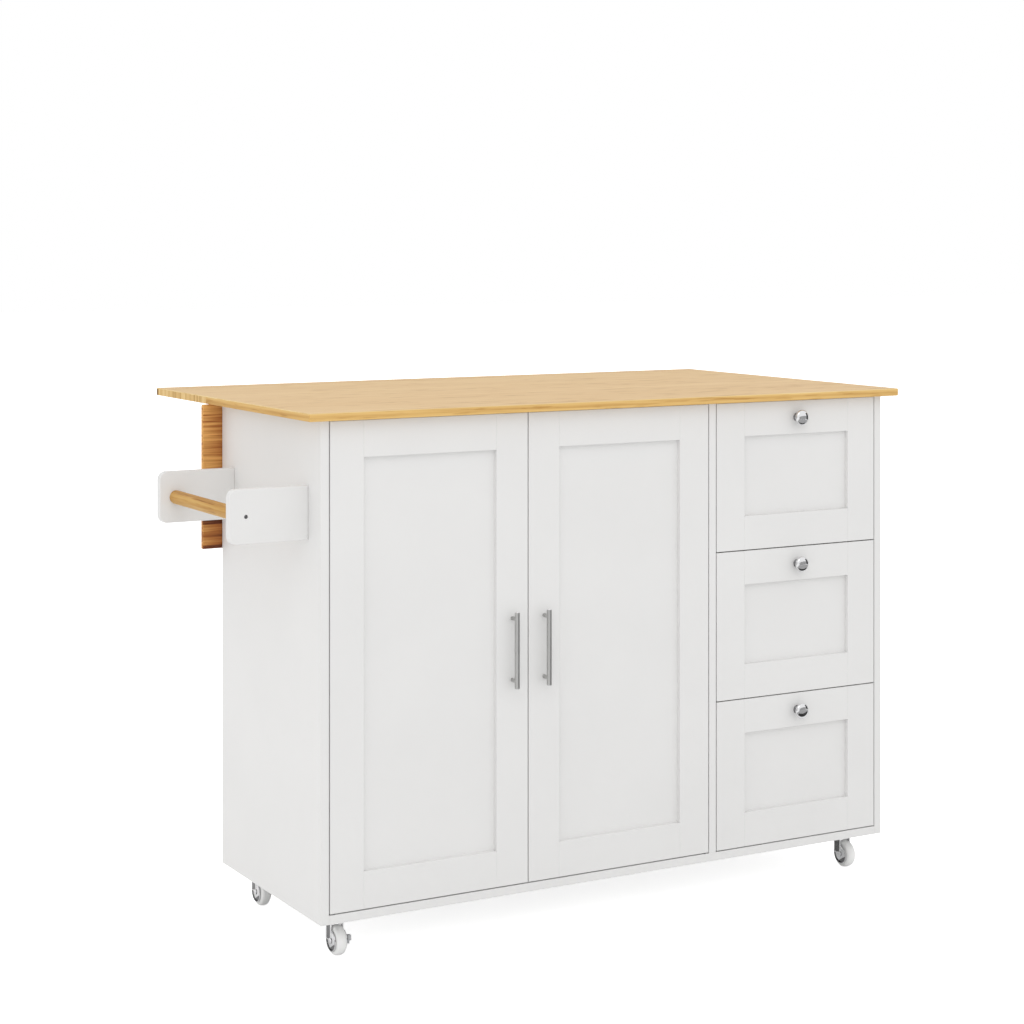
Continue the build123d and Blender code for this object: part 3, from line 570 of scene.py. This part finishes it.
top_wood = wood("worktop_wood", "X", top_stops, figure=(0.4, 6), pores=0.28, flecks=(0.11, 16, 70))
front_edge_wood = wood("worktop_front_edge_wood", "X", front_stops, **edge_look)
side_edge_wood = wood("worktop_side_edge_wood", "Y", side_stops, **edge_look)
# A paler wood for the upper arris: a painted highlight.
arris_highlight_wood = wood("worktop_arris_wood", "X", arris_highlight_stops, figure=(0.65, 20), pores=0.35)
leaf_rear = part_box("drop_leaf")[1][1]
# The leaf's end darkens towards its rear tip: painted shade on the rounded corner.
tip_painted_shade = (("Y", leaf_rear - tip_pale, leaf_rear - tip_dark, tip_depth),)
leaf_end_wood = wood("leaf_end_wood", "Z", end_stops, figure=(0.8, 75), pores=0.2, fades=tip_painted_shade)
dowel_wood = wood("dowel_wood", "Y", dowel_stops, figure=(0.6, 40), pores=0.4, flecks=(0.10, 14, 220))
print("light woods ready, leaf ends at", leaf_rear)

# %% Support wood, darker at its foot, with painted shade at its inner edge
support_stops = ((0.16, (0.12, 0.028, 0.006)), (0.32, (0.41, 0.138, 0.029)), (0.49, (0.78, 0.41, 0.120)))
foot_pale, foot_dark, foot_depth = 0.12, 0.03, 0.11
inner_shade_reach, inner_shade_depth = 0.05, 0.15
support_woods = {}
for side, outer, inward in (("left", 0, 1), ("right", 1, -1)):
    outer_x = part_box(f"wing_{side}")[outer][0]
    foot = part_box(f"wing_{side}")[0][2]
    # Darker towards the foot, and painted shade towards the inner edge by the cabinet.
    foot_fade_and_painted_shade = (("Z", foot + foot_pale, foot + foot_dark, foot_depth),
             ("X", outer_x, outer_x + inward * inner_shade_reach, inner_shade_depth))
    support_woods[side] = wood(f"support_wood_{side}", "X", support_stops, figure=(0.5, 45), pores=0.45,
                               flecks=(0.14, 4, 150), fades=foot_fade_and_painted_shade)
print("support woods", len(support_woods))

# %% [markdown]
# ### Metal
# The knobs and caster forks are polished chrome and the bar handles satin nickel with fine lines
# along the bar. Hinges, runners and screws are dull zinc. A dark steel is painted shade in the
# gaps, holes and hollows, and a painted reflection on the caster domes' lower lips. Metal is mostly
# what it mirrors, so its nodes only vary how sharp the mirror is.

# %% Metal finishes
even_scale = (160, 160, 160)


def metal(name, colour, rough, spread, stretch, ripple):
    """A metal: one colour, with its roughness and ripple drawn out along a direction."""
    material, tree, shader, place = finish_start(name)
    shader.inputs["Base Color"].default_value = (*colour, 1)
    shader.inputs["Metallic"].default_value = 1
    lines = drawn_noise(tree, place, stretch, 3, 0.6)
    roughened(tree, shader, lines, rough - spread, rough + spread, ripple)
    return material


polished_chrome = metal("polished_chrome", (0.78, 0.78, 0.79), rough=0.08, spread=0.03,
                        stretch=(90, 90, 90), ripple=0.000004)
satin_nickel = metal("satin_nickel", (0.49, 0.49, 0.48), rough=0.34, spread=0.06,
                     stretch=(900, 900, 12), ripple=0.000008)
zinc_steel = metal("zinc_steel", (0.56, 0.57, 0.58), rough=0.32, spread=0.08,
                   stretch=even_scale, ripple=0.00001)
# A dark steel used only as painted shade and painted reflection.
painted_shade_steel = metal("painted_shade_steel", (0.20, 0.20, 0.205), rough=0.25, spread=0.06,
                   stretch=even_scale, ripple=0.00001)
print("metals ready")

# %% [markdown]
# ### Finishes on the solids
# Runners, hinge plates, drawer boxes and other plain pieces are right as solids and show as they
# are, so every solid gets the finish of its slot. The door pivots show as specks in the gaps, so
# they get the dark steel as painted shade, where bright zinc would glint.

# %% Finish for each slot of the record
finish_of = {
    "white_lacquer": white_lacquer, "worktop_wood": top_wood, "support_wood": support_woods["left"],
    "dowel_wood": dowel_wood, "polished_chrome": polished_chrome, "satin_nickel": satin_nickel,
    "zinc_steel": zinc_steel, "white_nylon": white_nylon, "grey_plastic": grey_plastic,
    "black_plastic": black_plastic, "plain_board": plain_board,
}
for subpart in record["subparts"]:
    solid = frame["nodes"][subpart["node"]]
    solid.data.materials.clear()
    solid.data.materials.append(finish_of[subpart["material_slot"]])
# The door pivots in the gaps: dark steel as painted shade.
frame["nodes"]["door_pivot_pins"].data.materials[0] = painted_shade_steel
print("solids with a finish", len(record["subparts"]))

# %% [markdown]
# ## Worktop and leaf
# Both are flat panels with small rounded corners on their free side and an eased arris that
# catches the light along the front. A cube is enough to start: two upright edges are beveled to
# the corner radius, then the rims of the top and bottom. At the seam the arris stays small, so
# the two panels read as one surface. Faces get the top, edge or end wood by normal, and the
# upper arris faces a paler wood that is a painted highlight.

# %% Worktop and leaf panels
corner_radius = 0.004
free_arris = 0.0016
seam_arris = 0.0004
edge_number, end_number, arris_highlight_number = 1, 2, 3
arris_tilt, flat_tilt = 0.15, 0.95


def top_panel(name, node, free_y, seam_y, end_wood):
    """A panel rounded at its free corners, eased round its rim and less at the seam."""
    low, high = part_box(node)
    piece = block(name, low, high)

    def at_free_corner(edge):
        return runs_along(edge, z_axis) and lies_at(edge, y_axis, free_y)

    def on_free_rim(edge):
        return not runs_along(edge, z_axis) and not lies_at(edge, y_axis, seam_y)

    def on_seam_rim(edge):
        return not runs_along(edge, z_axis) and lies_at(edge, y_axis, seam_y)

    ease_edges(piece, at_free_corner, corner_radius, 6)
    ease_edges(piece, on_free_rim, free_arris, 3)
    ease_edges(piece, on_seam_rim, seam_arris, 2)
    for finish in (top_wood, front_edge_wood, end_wood, arris_highlight_wood):
        piece.data.materials.append(finish)
    for face in piece.data.polygons:
        # Upward-tilted arris faces get the pale wood, a painted highlight.
        if arris_tilt < face.normal.z < flat_tilt:
            face.material_index = arris_highlight_number
        elif abs(face.normal.z) < flat_tilt:
            at_end = abs(face.normal.x) > abs(face.normal.y)
            face.material_index = end_number if at_end else edge_number
    return piece


top_low, top_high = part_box("countertop")
leaf_low, leaf_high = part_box("drop_leaf")
worktop = top_panel("worktop_panel", "countertop", top_low[1], top_high[1], side_edge_wood)
dress(worktop, "cabinet", "worktop_wood", None, "countertop")
leaf = top_panel("leaf_panel", "drop_leaf", leaf_high[1], leaf_low[1], leaf_end_wood)
dress(leaf, "leaf", "worktop_wood", None, "drop_leaf")
print("worktop faces", len(worktop.data.polygons), "leaf faces", len(leaf.data.polygons))

# %% [markdown]
# ## Cabinet boards
# Side panels, partition, floor, back and shelf are lacquered boards. Their edges are broken by
# the lacquer and the sanding before it, so each is a cube with all its edges eased by less than
# a millimetre. Without that the front edges would have no highlight at all.

# %% Boards of the cabinet
cabinet_boards = ("side_panel_left", "side_panel_right", "partition_panel", "bottom_panel", "back_panel",
                  "shelf")
for node in cabinet_boards:
    low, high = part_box(node)
    dress(board(f"{node}_board", low, high), "cabinet", "white_lacquer", white_lacquer, node)
print("cabinet boards", len(cabinet_boards))

# %% [markdown]
# ## Doors and drawer fronts
# A front is a frame of two upright stiles with rails between them, round a flat panel that sits
# a little back. The joints show as hairlines through the lacquer, so stiles and rails are kept as
# separate boards with eased edges. One board with an inset would lose those lines. The panels of
# the doors are right as solids; those of the drawers are part of the front, so they are made here.

# %% Frames and panels
frame_width = 0.062
panel_back = 0.008
panel_thick = 0.006
panel_ease = 0.0001


def front_frame(name, low, high):
    """The two stiles and two rails of a front."""
    left, right = low[0] + frame_width, high[0] - frame_width
    under, over = low[2] + frame_width, high[2] - frame_width
    return [
        board(name, low, (left, high[1], high[2])),
        board(name, (right, low[1], low[2]), high),
        board(name, (left, low[1], low[2]), (right, high[1], under)),
        board(name, (left, low[1], over), (right, high[1], high[2])),
    ]


def front_panel(name, low, high):
    """The flat panel inside the frame of a front."""
    face_y = low[1] + panel_back
    return board(name, (low[0] + frame_width, face_y, low[2] + frame_width),
                 (high[0] - frame_width, face_y + panel_thick, high[2] - frame_width), panel_ease, 1)


for side in ("left", "right"):
    low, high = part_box(f"door_{side}_frame")
    frame_piece = together(f"door_{side}_frame_boards", front_frame("door_board", low, high))
    dress(frame_piece, f"door_{side}", "white_lacquer", white_lacquer, f"door_{side}_frame")
for number in (1, 2, 3):
    low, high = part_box(f"drawer_{number}_front")
    boards = front_frame("drawer_board", low, high) + [front_panel("drawer_panel", low, high)]
    front_piece = together(f"drawer_{number}_front_boards", boards)
    dress(front_piece, f"drawer_{number}", "white_lacquer", white_lacquer, f"drawer_{number}_front")
print("fronts done")

# %% [markdown]
# ## Screws
# Handles, knobs, the towel dowel and the hinges are held by cross-head screws. One head is turned
# and its cross is cut with two thin blades; every other screw is a copy of it, with its own mesh,
# moved and turned to its place.

# %% One screw head and its copies
head_radius = 0.004
head_height = 0.0022
head_rings = ((0, head_radius), (0.0007, head_radius), (0.0014, head_radius * 0.86),
              (0.0019, head_radius * 0.6), (head_height, head_radius * 0.25))
cross_half = 0.0004
cross_reach = head_radius * 0.6
cross_deep = 0.0012
cut_over = 0.001
screw_head = turned("screw_head", (0, 0, 0), (0, 0, 1), head_rings, 20)
for wide, deep in ((cross_reach, cross_half), (cross_half, cross_reach)):
    blade = block("blade", (-wide, -deep, head_height - cross_deep), (wide, deep, head_height + cut_over))
    cut(screw_head, blade)


def screw_at(place, out, size=1.0):
    """A copy of the screw head that sits at a place and faces out."""
    copy = screw_head.copy()
    copy.data = screw_head.data.copy()
    bpy.context.collection.objects.link(copy)
    turn = Vector(out).to_track_quat("Z", "Y").to_matrix().to_4x4()
    copy.data.transform(Matrix.Translation(place) @ turn @ Matrix.Scale(size, 4))
    return copy


print("screw head faces", len(screw_head.data.polygons))

# %% [markdown]
# ## Bar handles
# Each door has a round satin bar on two posts. Bar and posts are turned: the bar's ends get a small
# polished chamfer, and each post starts on the door and ends inside the bar, where a real one is
# screwed. The heads of the two screws show on the back of the door.

# %% Handles
bar_radius = 0.0045
post_radius = 0.0035
post_spacing = 0.107
post_short = 0.001
chamfer = 0.0016
chamfer_tilt = 0.6


def bar_rings(long, radius, ease):
    """The rings of a round bar with eased ends."""
    return ((0, radius - ease), (ease, radius), (long - ease, radius), (long, radius - ease))


for side in ("left", "right"):
    low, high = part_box(f"door_{side}_handle")
    door_low, door_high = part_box(f"door_{side}_frame")
    handle_x = (low[0] + high[0]) / 2
    bar_y = low[1] + bar_radius
    post_long = door_low[1] - bar_y - post_short
    parts = [turned("handle_bar", (handle_x, bar_y, low[2]), (0, 0, 1),
                    bar_rings(high[2] - low[2], bar_radius, chamfer), 32)]
    for rise in (-post_spacing / 2, post_spacing / 2):
        post_z = (low[2] + high[2]) / 2 + rise
        parts.append(turned("handle_post", (handle_x, door_low[1], post_z), (0, -1, 0),
                            ((0, post_radius), (post_long, post_radius)), 24))
        parts.append(screw_at((handle_x, door_high[1], post_z), (0, 1, 0)))
    handle = together(f"door_{side}_bar_handle", parts)
    dress(handle, f"door_{side}", "satin_nickel", satin_nickel, f"door_{side}_handle")
    handle.data.materials.append(polished_chrome)
    refinish(handle, 1, lambda face: abs(face.normal.z) > chamfer_tilt
             and not low[2] + chamfer < face.center.z < high[2] - chamfer)
print("handles done")

# %% [markdown]
# ## Knobs
# The drawer knobs are chrome mushrooms: a small foot on the front, a waisted stem and a round
# head. They are turned from one disc, ring by ring; a sphere on a cylinder would miss the waist and
# the flat of the crown that give chrome its bands of light and dark. Foot and stem are dark steel,
# painted shade under the head.

# %% Knobs
foot_and_stem = ((0.0000, 0.0080), (0.0012, 0.0080), (0.0020, 0.0072), (0.0030, 0.0060), (0.0050, 0.0054),
                 (0.0075, 0.0055), (0.0095, 0.0065))
round_head = ((0.0108, 0.0088), (0.0118, 0.0112), (0.0130, 0.0130), (0.0146, 0.0142), (0.0162, 0.0145),
              (0.0178, 0.0140), (0.0192, 0.0127), (0.0204, 0.0106), (0.0213, 0.0078), (0.0218, 0.0045),
              (0.0220, 0.0012))
knob_rings = foot_and_stem + round_head
stem_end = 0.0100
for number in (1, 2, 3):
    low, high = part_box(f"drawer_{number}_knob")
    front_low, front_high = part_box(f"drawer_{number}_front")
    knob_x, knob_z = (low[0] + high[0]) / 2, (low[2] + high[2]) / 2
    parts = [turned("knob_body", (knob_x, front_low[1], knob_z), (0, -1, 0), knob_rings, 48, 60),
             screw_at((knob_x, front_high[1], knob_z), (0, 1, 0))]
    knob = together(f"drawer_{number}_round_knob", parts)
    dress(knob, f"drawer_{number}", "polished_chrome", polished_chrome, f"drawer_{number}_knob")
    # Foot and stem get the dark steel: painted shade under the head.
    knob.data.materials.append(painted_shade_steel)
    refinish(knob, 1, lambda face: face.center.y > front_low[1] - stem_end)
print("knobs done")

# %% [markdown]
# ## Towel rack
# Two lacquered boards stand out from the left side, with rounded outer corners, and carry a wooden
# dowel. A screw goes through each board into the end of the dowel, its head sunk in a small hole.
# The hole is cut with a turned plug and the screw head sits at its bottom, in dark steel as painted shade
# of the hole.

# %% Rack boards, dowel and screws
rack_thick = 0.015
rack_corner = 0.014
rack_ease = 0.0012
hole_radius = 0.0035
hole_deep = 0.003
hole_screw_size = 0.84
dowel_ease = 0.0006
rack_low, rack_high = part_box("towel_brackets")
dowel_low, dowel_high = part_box("towel_dowel")
dowel_x = (dowel_low[0] + dowel_high[0]) / 2
dowel_z = (dowel_low[2] + dowel_high[2]) / 2
dowel_radius = (dowel_high[0] - dowel_low[0]) / 2
rack_parts = []
screw_parts = []
for near, outer_y, out in ((rack_low[1], rack_low[1], -1), (rack_high[1] - rack_thick, rack_high[1], 1)):
    piece = block("rack_board", (rack_low[0], near, rack_low[2]),
                  (rack_high[0], near + rack_thick, rack_high[2]))
    ease_edges(piece, lambda edge: runs_along(edge, y_axis) and lies_at(edge, x_axis, rack_low[0]),
               rack_corner, 8)
    ease_edges(piece, lambda edge: not runs_along(edge, y_axis), rack_ease, 2)
    hole_end = (dowel_x, outer_y - out * hole_deep, dowel_z)
    plug = turned("hole_plug", hole_end, (0, out, 0),
                  ((0, hole_radius), (hole_deep + cut_over, hole_radius)), 24)
    rack_parts.append(cut(piece, plug))
    screw_parts.append(screw_at(hole_end, (0, out, 0), hole_screw_size))
rack = together("towel_rack_boards", rack_parts)
dress(rack, "cabinet", "white_lacquer", white_lacquer, "towel_brackets")
rack_screws = together("towel_rack_screws", screw_parts)
# The sunk heads get dark steel: painted shade of their holes.
dress(rack_screws, "cabinet", "zinc_steel", painted_shade_steel, "towel_screws")

dowel = turned("towel_rail", (dowel_x, dowel_low[1], dowel_z), (0, 1, 0),
               bar_rings(dowel_high[1] - dowel_low[1], dowel_radius, dowel_ease), 48)
dress(dowel, "cabinet", "dowel_wood", dowel_wood, "towel_dowel")
print("towel rack done")

# %% [markdown]
# ## Swing supports
# Behind the cabinet two wooden boards hang on butt hinges and swing out under the raised leaf. The
# upper rear edge is chamfered so that the leaf clears it when it folds. Each is a cube with
# that one edge beveled wide and the rest eased.

# %% Supports
leaf_chamfer = 0.003
wing_ease = 0.0006
for side in ("left", "right"):
    low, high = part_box(f"wing_{side}")
    piece = block(f"wing_{side}_board", low, high)
    ease_edges(piece, lambda edge: lies_at(edge, y_axis, high[1]) and lies_at(edge, z_axis, high[2]),
               leaf_chamfer, 1)
    ease_edges(piece, every, wing_ease, 2)
    dress(piece, f"wing_{side}", "support_wood", support_woods[side], f"wing_{side}")
print("supports done")

# %% [markdown]
# ## Casters
# Each caster has a white nylon wheel between two chrome legs, which hang from a small bridge below
# the plate. The wheel is turned with full shoulders and a tread that is nearly flat. A leg is a
# strip with a channel pressed into its outer face; the channel is dark steel, painted shade. Beside
# it, round the axle, sits a turned cover: a polished wall with a dark rim inside, painted shade,
# round a polished dome. The dome's lower lip is dark steel too, a painted reflection of the shade
# below, so the dome is divided there with a plane, because whole faces would give a jagged line.
# The parts get their finishes before they are joined, so that each keeps its own.

# %% Parts of a fork
wheel_radius = 0.025
leg_inner = 0.010
leg_thick = 0.0025
leg_outer = leg_inner + leg_thick
leg_width = 0.020
leg_shift = 0.008
leg_ease = 0.0006
bridge_ease = 0.0007
channel_rim = 0.0016
channel_slope = 0.0006
channel_deep = 0.0004
straight_out = 0.99
cover_radius = 0.018
rim_wall = 0.0176
rim_rings = ((0, rim_wall), (0.0004, cover_radius), (0.0015, cover_radius), (0.0019, 0.0174),
             (0.0019, 0.0162), (0.0003, 0.0158))
dome_rings = ((0.0002, 0.0156), (0.0006, 0.0150), (0.0011, 0.0128), (0.0015, 0.0100), (0.0017, 0.0070),
              (0.0018, 0.0050))
lip_depth = 0.0095
lip_side = Vector((0, -0.5, -0.87))
axle_radius = 0.003
axle_start = 0.001
rivet_high = 0.0015
rivet_rings = ((0, 0.0050), (0.0006, 0.0050), (0.0011, 0.0042), (rivet_high, 0.0022))


def plated(piece, *finishes):
    """Give one part of a fork its finishes before the parts are joined; the first is on every face."""
    for finish in finishes:
        piece.data.materials.append(finish)
    return piece


def fork_leg(axle_x, leg_y, side, top):
    """A strip from the axle's height to the top, with a channel in its outer face in dark steel, painted
    shade.
    """
    near_x, far_x = sorted((axle_x + side * leg_inner, axle_x + side * leg_outer))
    leg = board("fork_leg", (near_x, leg_y - leg_width / 2, wheel_radius),
                (far_x, leg_y + leg_width / 2, top), leg_ease)
    plated(leg, polished_chrome, painted_shade_steel)
    pick(leg, "FACE", lambda face: face.normal.x * side > straight_out)
    bpy.ops.mesh.inset(thickness=channel_rim, depth=0)
    bpy.ops.mesh.inset(thickness=channel_slope, depth=-channel_deep)
    # The channel gets the dark steel: painted shade.
    leg.active_material_index = 1
    bpy.ops.object.material_slot_assign()
    bpy.ops.object.mode_set(mode="OBJECT")
    return leg


def fork_cover(axle, side):
    """The rim and the dome beside one leg."""
    start = axle + Vector((side * leg_inner, 0, 0))
    rim = turned("fork_rim", start, (side, 0, 0), rim_rings, 48, 35)
    # The inner rim is dark steel, painted shade; the outer wall is polished.
    plated(rim, painted_shade_steel, polished_chrome)
    refinish(rim, 1, lambda face: (face.center - axle).yz.length > rim_wall)
    dome = turned("fork_cover", start, (side, 0, 0), dome_rings, 48, 50)
    plated(dome, polished_chrome, painted_shade_steel)
    pick(dome, "FACE", every)
    bpy.ops.mesh.bisect(plane_co=axle + lip_side * lip_depth, plane_no=lip_side)
    bpy.ops.object.mode_set(mode="OBJECT")
    # The lower lip gets the dark steel: a painted reflection of the shade below.
    refinish(dome, 1, lambda face: (face.center - axle).dot(lip_side) > lip_depth)
    return [rim, dome]


def axle_head(axle, side, rivet_out):
    """The end of the axle outside one leg and the rivet head on it."""
    end = turned("axle_end", axle + Vector((side * leg_inner, 0, 0)), (side, 0, 0),
                 ((axle_start, axle_radius), (rivet_out - leg_inner, axle_radius)), 24)
    rivet = turned("axle_rivet", axle + Vector((side * rivet_out, 0, 0)), (side, 0, 0), rivet_rings, 24)
    return [plated(end, polished_chrome), plated(rivet, polished_chrome)]


print("fork parts ready, leg", leg_width, "by", leg_thick)

# %% [markdown]
# ### Four casters
# Two casters, on one diagonal, have a brake lever. The solid of the lever has the right shape, so a
# copy of its mesh is merged and only its sharp edges are eased.

# %% Wheels, forks and brakes
shoulder = ((0.0018, 0.0250), (0.0042, 0.0248), (0.0064, 0.0240), (0.0080, 0.0225), (0.0088, 0.0207),
            (0.0090, 0.0195), (0.0088, 0.0090), (0.0092, 0.0082), (0.0097, 0.0080))
wheel_rings = tuple((-far, wide) for far, wide in reversed(shoulder)) + shoulder
brake_ease = 0.0004
merge_gap = 0.000002


def rounded_copy(name, node, ease):
    """A copy of a solid's mesh, merged, with its sharp edges eased by a bevel."""
    clear_bench()
    piece = bpy.data.objects.new(name, frame["nodes"][node].data.copy())
    bpy.context.collection.objects.link(piece)
    piece.data.materials.clear()
    work_on(piece)
    bpy.ops.object.mode_set(mode="EDIT")
    bpy.ops.mesh.select_all(action="SELECT")
    bpy.ops.mesh.remove_doubles(threshold=merge_gap)
    bpy.ops.mesh.dissolve_limited(angle_limit=radians(1))
    bpy.ops.object.mode_set(mode="OBJECT")
    easing = piece.modifiers.new("easing", "BEVEL")
    easing.width = ease
    easing.segments = 2
    easing.limit_method = "ANGLE"
    easing.angle_limit = radians(35)
    bpy.ops.object.modifier_apply(modifier=easing.name)
    bpy.ops.object.shade_smooth_by_angle(angle=radians(30))
    return piece


brakes = {"front_left": True, "front_right": False, "rear_left": False, "rear_right": True}
for place, braked in brakes.items():
    caster = f"caster_{place}"
    low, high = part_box(f"{caster}_fork")
    wheel_low, wheel_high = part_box(f"{caster}_wheel")
    axle_x = (wheel_low[0] + wheel_high[0]) / 2
    axle_y = (wheel_low[1] + wheel_high[1]) / 2
    axle = Vector((axle_x, axle_y, wheel_radius))
    wheel = turned(f"{caster}_tyre", axle, (1, 0, 0), wheel_rings, 56, 45)
    dress(wheel, f"{caster}_wheel", "white_nylon", white_nylon, f"{caster}_wheel")

    leg_y = axle_y + leg_shift
    bridge = board("fork_bridge", (axle_x - leg_outer, leg_y - leg_width / 2, high[2] - leg_thick),
                   (axle_x + leg_outer, high[1], high[2]), bridge_ease)
    parts = [plated(bridge, polished_chrome)]
    for side, reach in ((-1, axle_x - low[0]), (1, high[0] - axle_x)):
        parts.append(fork_leg(axle_x, leg_y, side, high[2]))
        parts.extend(fork_cover(axle, side))
        parts.extend(axle_head(axle, side, reach - rivet_high))
    fork = together(f"{caster}_chrome_fork", parts)
    dress(fork, caster, "polished_chrome", None, f"{caster}_fork")
    if braked:
        brake = rounded_copy(f"{caster}_pedal", f"{caster}_brake", brake_ease)
        dress(brake, f"{caster}_brake", "grey_plastic", grey_plastic, f"{caster}_brake")
print("casters done")

# %% [markdown]
# ## Hinge screws
# The plates of the leaf hinges and of the supports' hinges are held by small screws. The plates are
# right as they are in the solids, so only the heads are added, four to a leaf plate and two to a
# narrow one, and they ride with the plate that they hold.

# %% Screws on the leaf's hinge plates
plate_thick = 0.0025
hinge_length = 0.060
screw_sides = (-0.018, 0.018)
screw_rows = (0.012, 0.028)
leaf_row_shift = 0.004
plate_screw_size = 0.8
back_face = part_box("back_panel")[1][1]
plate_low, plate_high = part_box("leaf_hinge_plates_fixed")
moving_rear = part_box("leaf_hinge_plates_moving")[1][1]
hinge_middles = (plate_low[0] + hinge_length / 2, (plate_low[0] + plate_high[0]) / 2,
                 plate_high[0] - hinge_length / 2)
back_heads = []
leaf_heads = []
for hinge_x in hinge_middles:
    for beside in screw_sides:
        for row in screw_rows:
            on_back = (hinge_x + beside, back_face + plate_thick, plate_low[2] + row)
            on_leaf = (hinge_x + beside, moving_rear - row + leaf_row_shift, leaf_low[2] - plate_thick)
            back_heads.append(screw_at(on_back, (0, 1, 0), plate_screw_size))
            leaf_heads.append(screw_at(on_leaf, (0, 0, -1), plate_screw_size))
dress(together("leaf_hinge_back_screws", back_heads), "cabinet", "zinc_steel", zinc_steel)
dress(together("leaf_hinge_leaf_screws", leaf_heads), "leaf", "zinc_steel", zinc_steel)
print("leaf hinges", len(hinge_middles))

# %% Screws on the supports' hinge plates
narrow_thick = 0.0016
narrow_tall = 0.050
narrow_screw_in = 0.012
narrow_screw_rows = (0.010, 0.040)
narrow_screw_size = 0.6
still_heads = []
for side in ("left", "right"):
    low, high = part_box(f"wing_{side}_hinges")
    wing_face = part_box(f"wing_{side}")[0][1]
    plate_x = low[0] + narrow_screw_in if side == "left" else high[0] - narrow_screw_in
    swing_heads = []
    for plate_foot in (low[2], high[2] - narrow_tall):
        for row in narrow_screw_rows:
            on_back = (plate_x, back_face + narrow_thick, plate_foot + row)
            on_wing = (plate_x, wing_face - narrow_thick, plate_foot + row)
            still_heads.append(screw_at(on_back, (0, 1, 0), narrow_screw_size))
            swing_heads.append(screw_at(on_wing, (0, -1, 0), narrow_screw_size))
    dress(together(f"wing_{side}_hinge_screws", swing_heads), f"wing_{side}", "zinc_steel", zinc_steel)
dress(together("wing_hinge_back_screws", still_heads), "cabinet", "zinc_steel", zinc_steel)
bpy.data.objects.remove(screw_head, do_unlink=True)
print("hinge screws done")
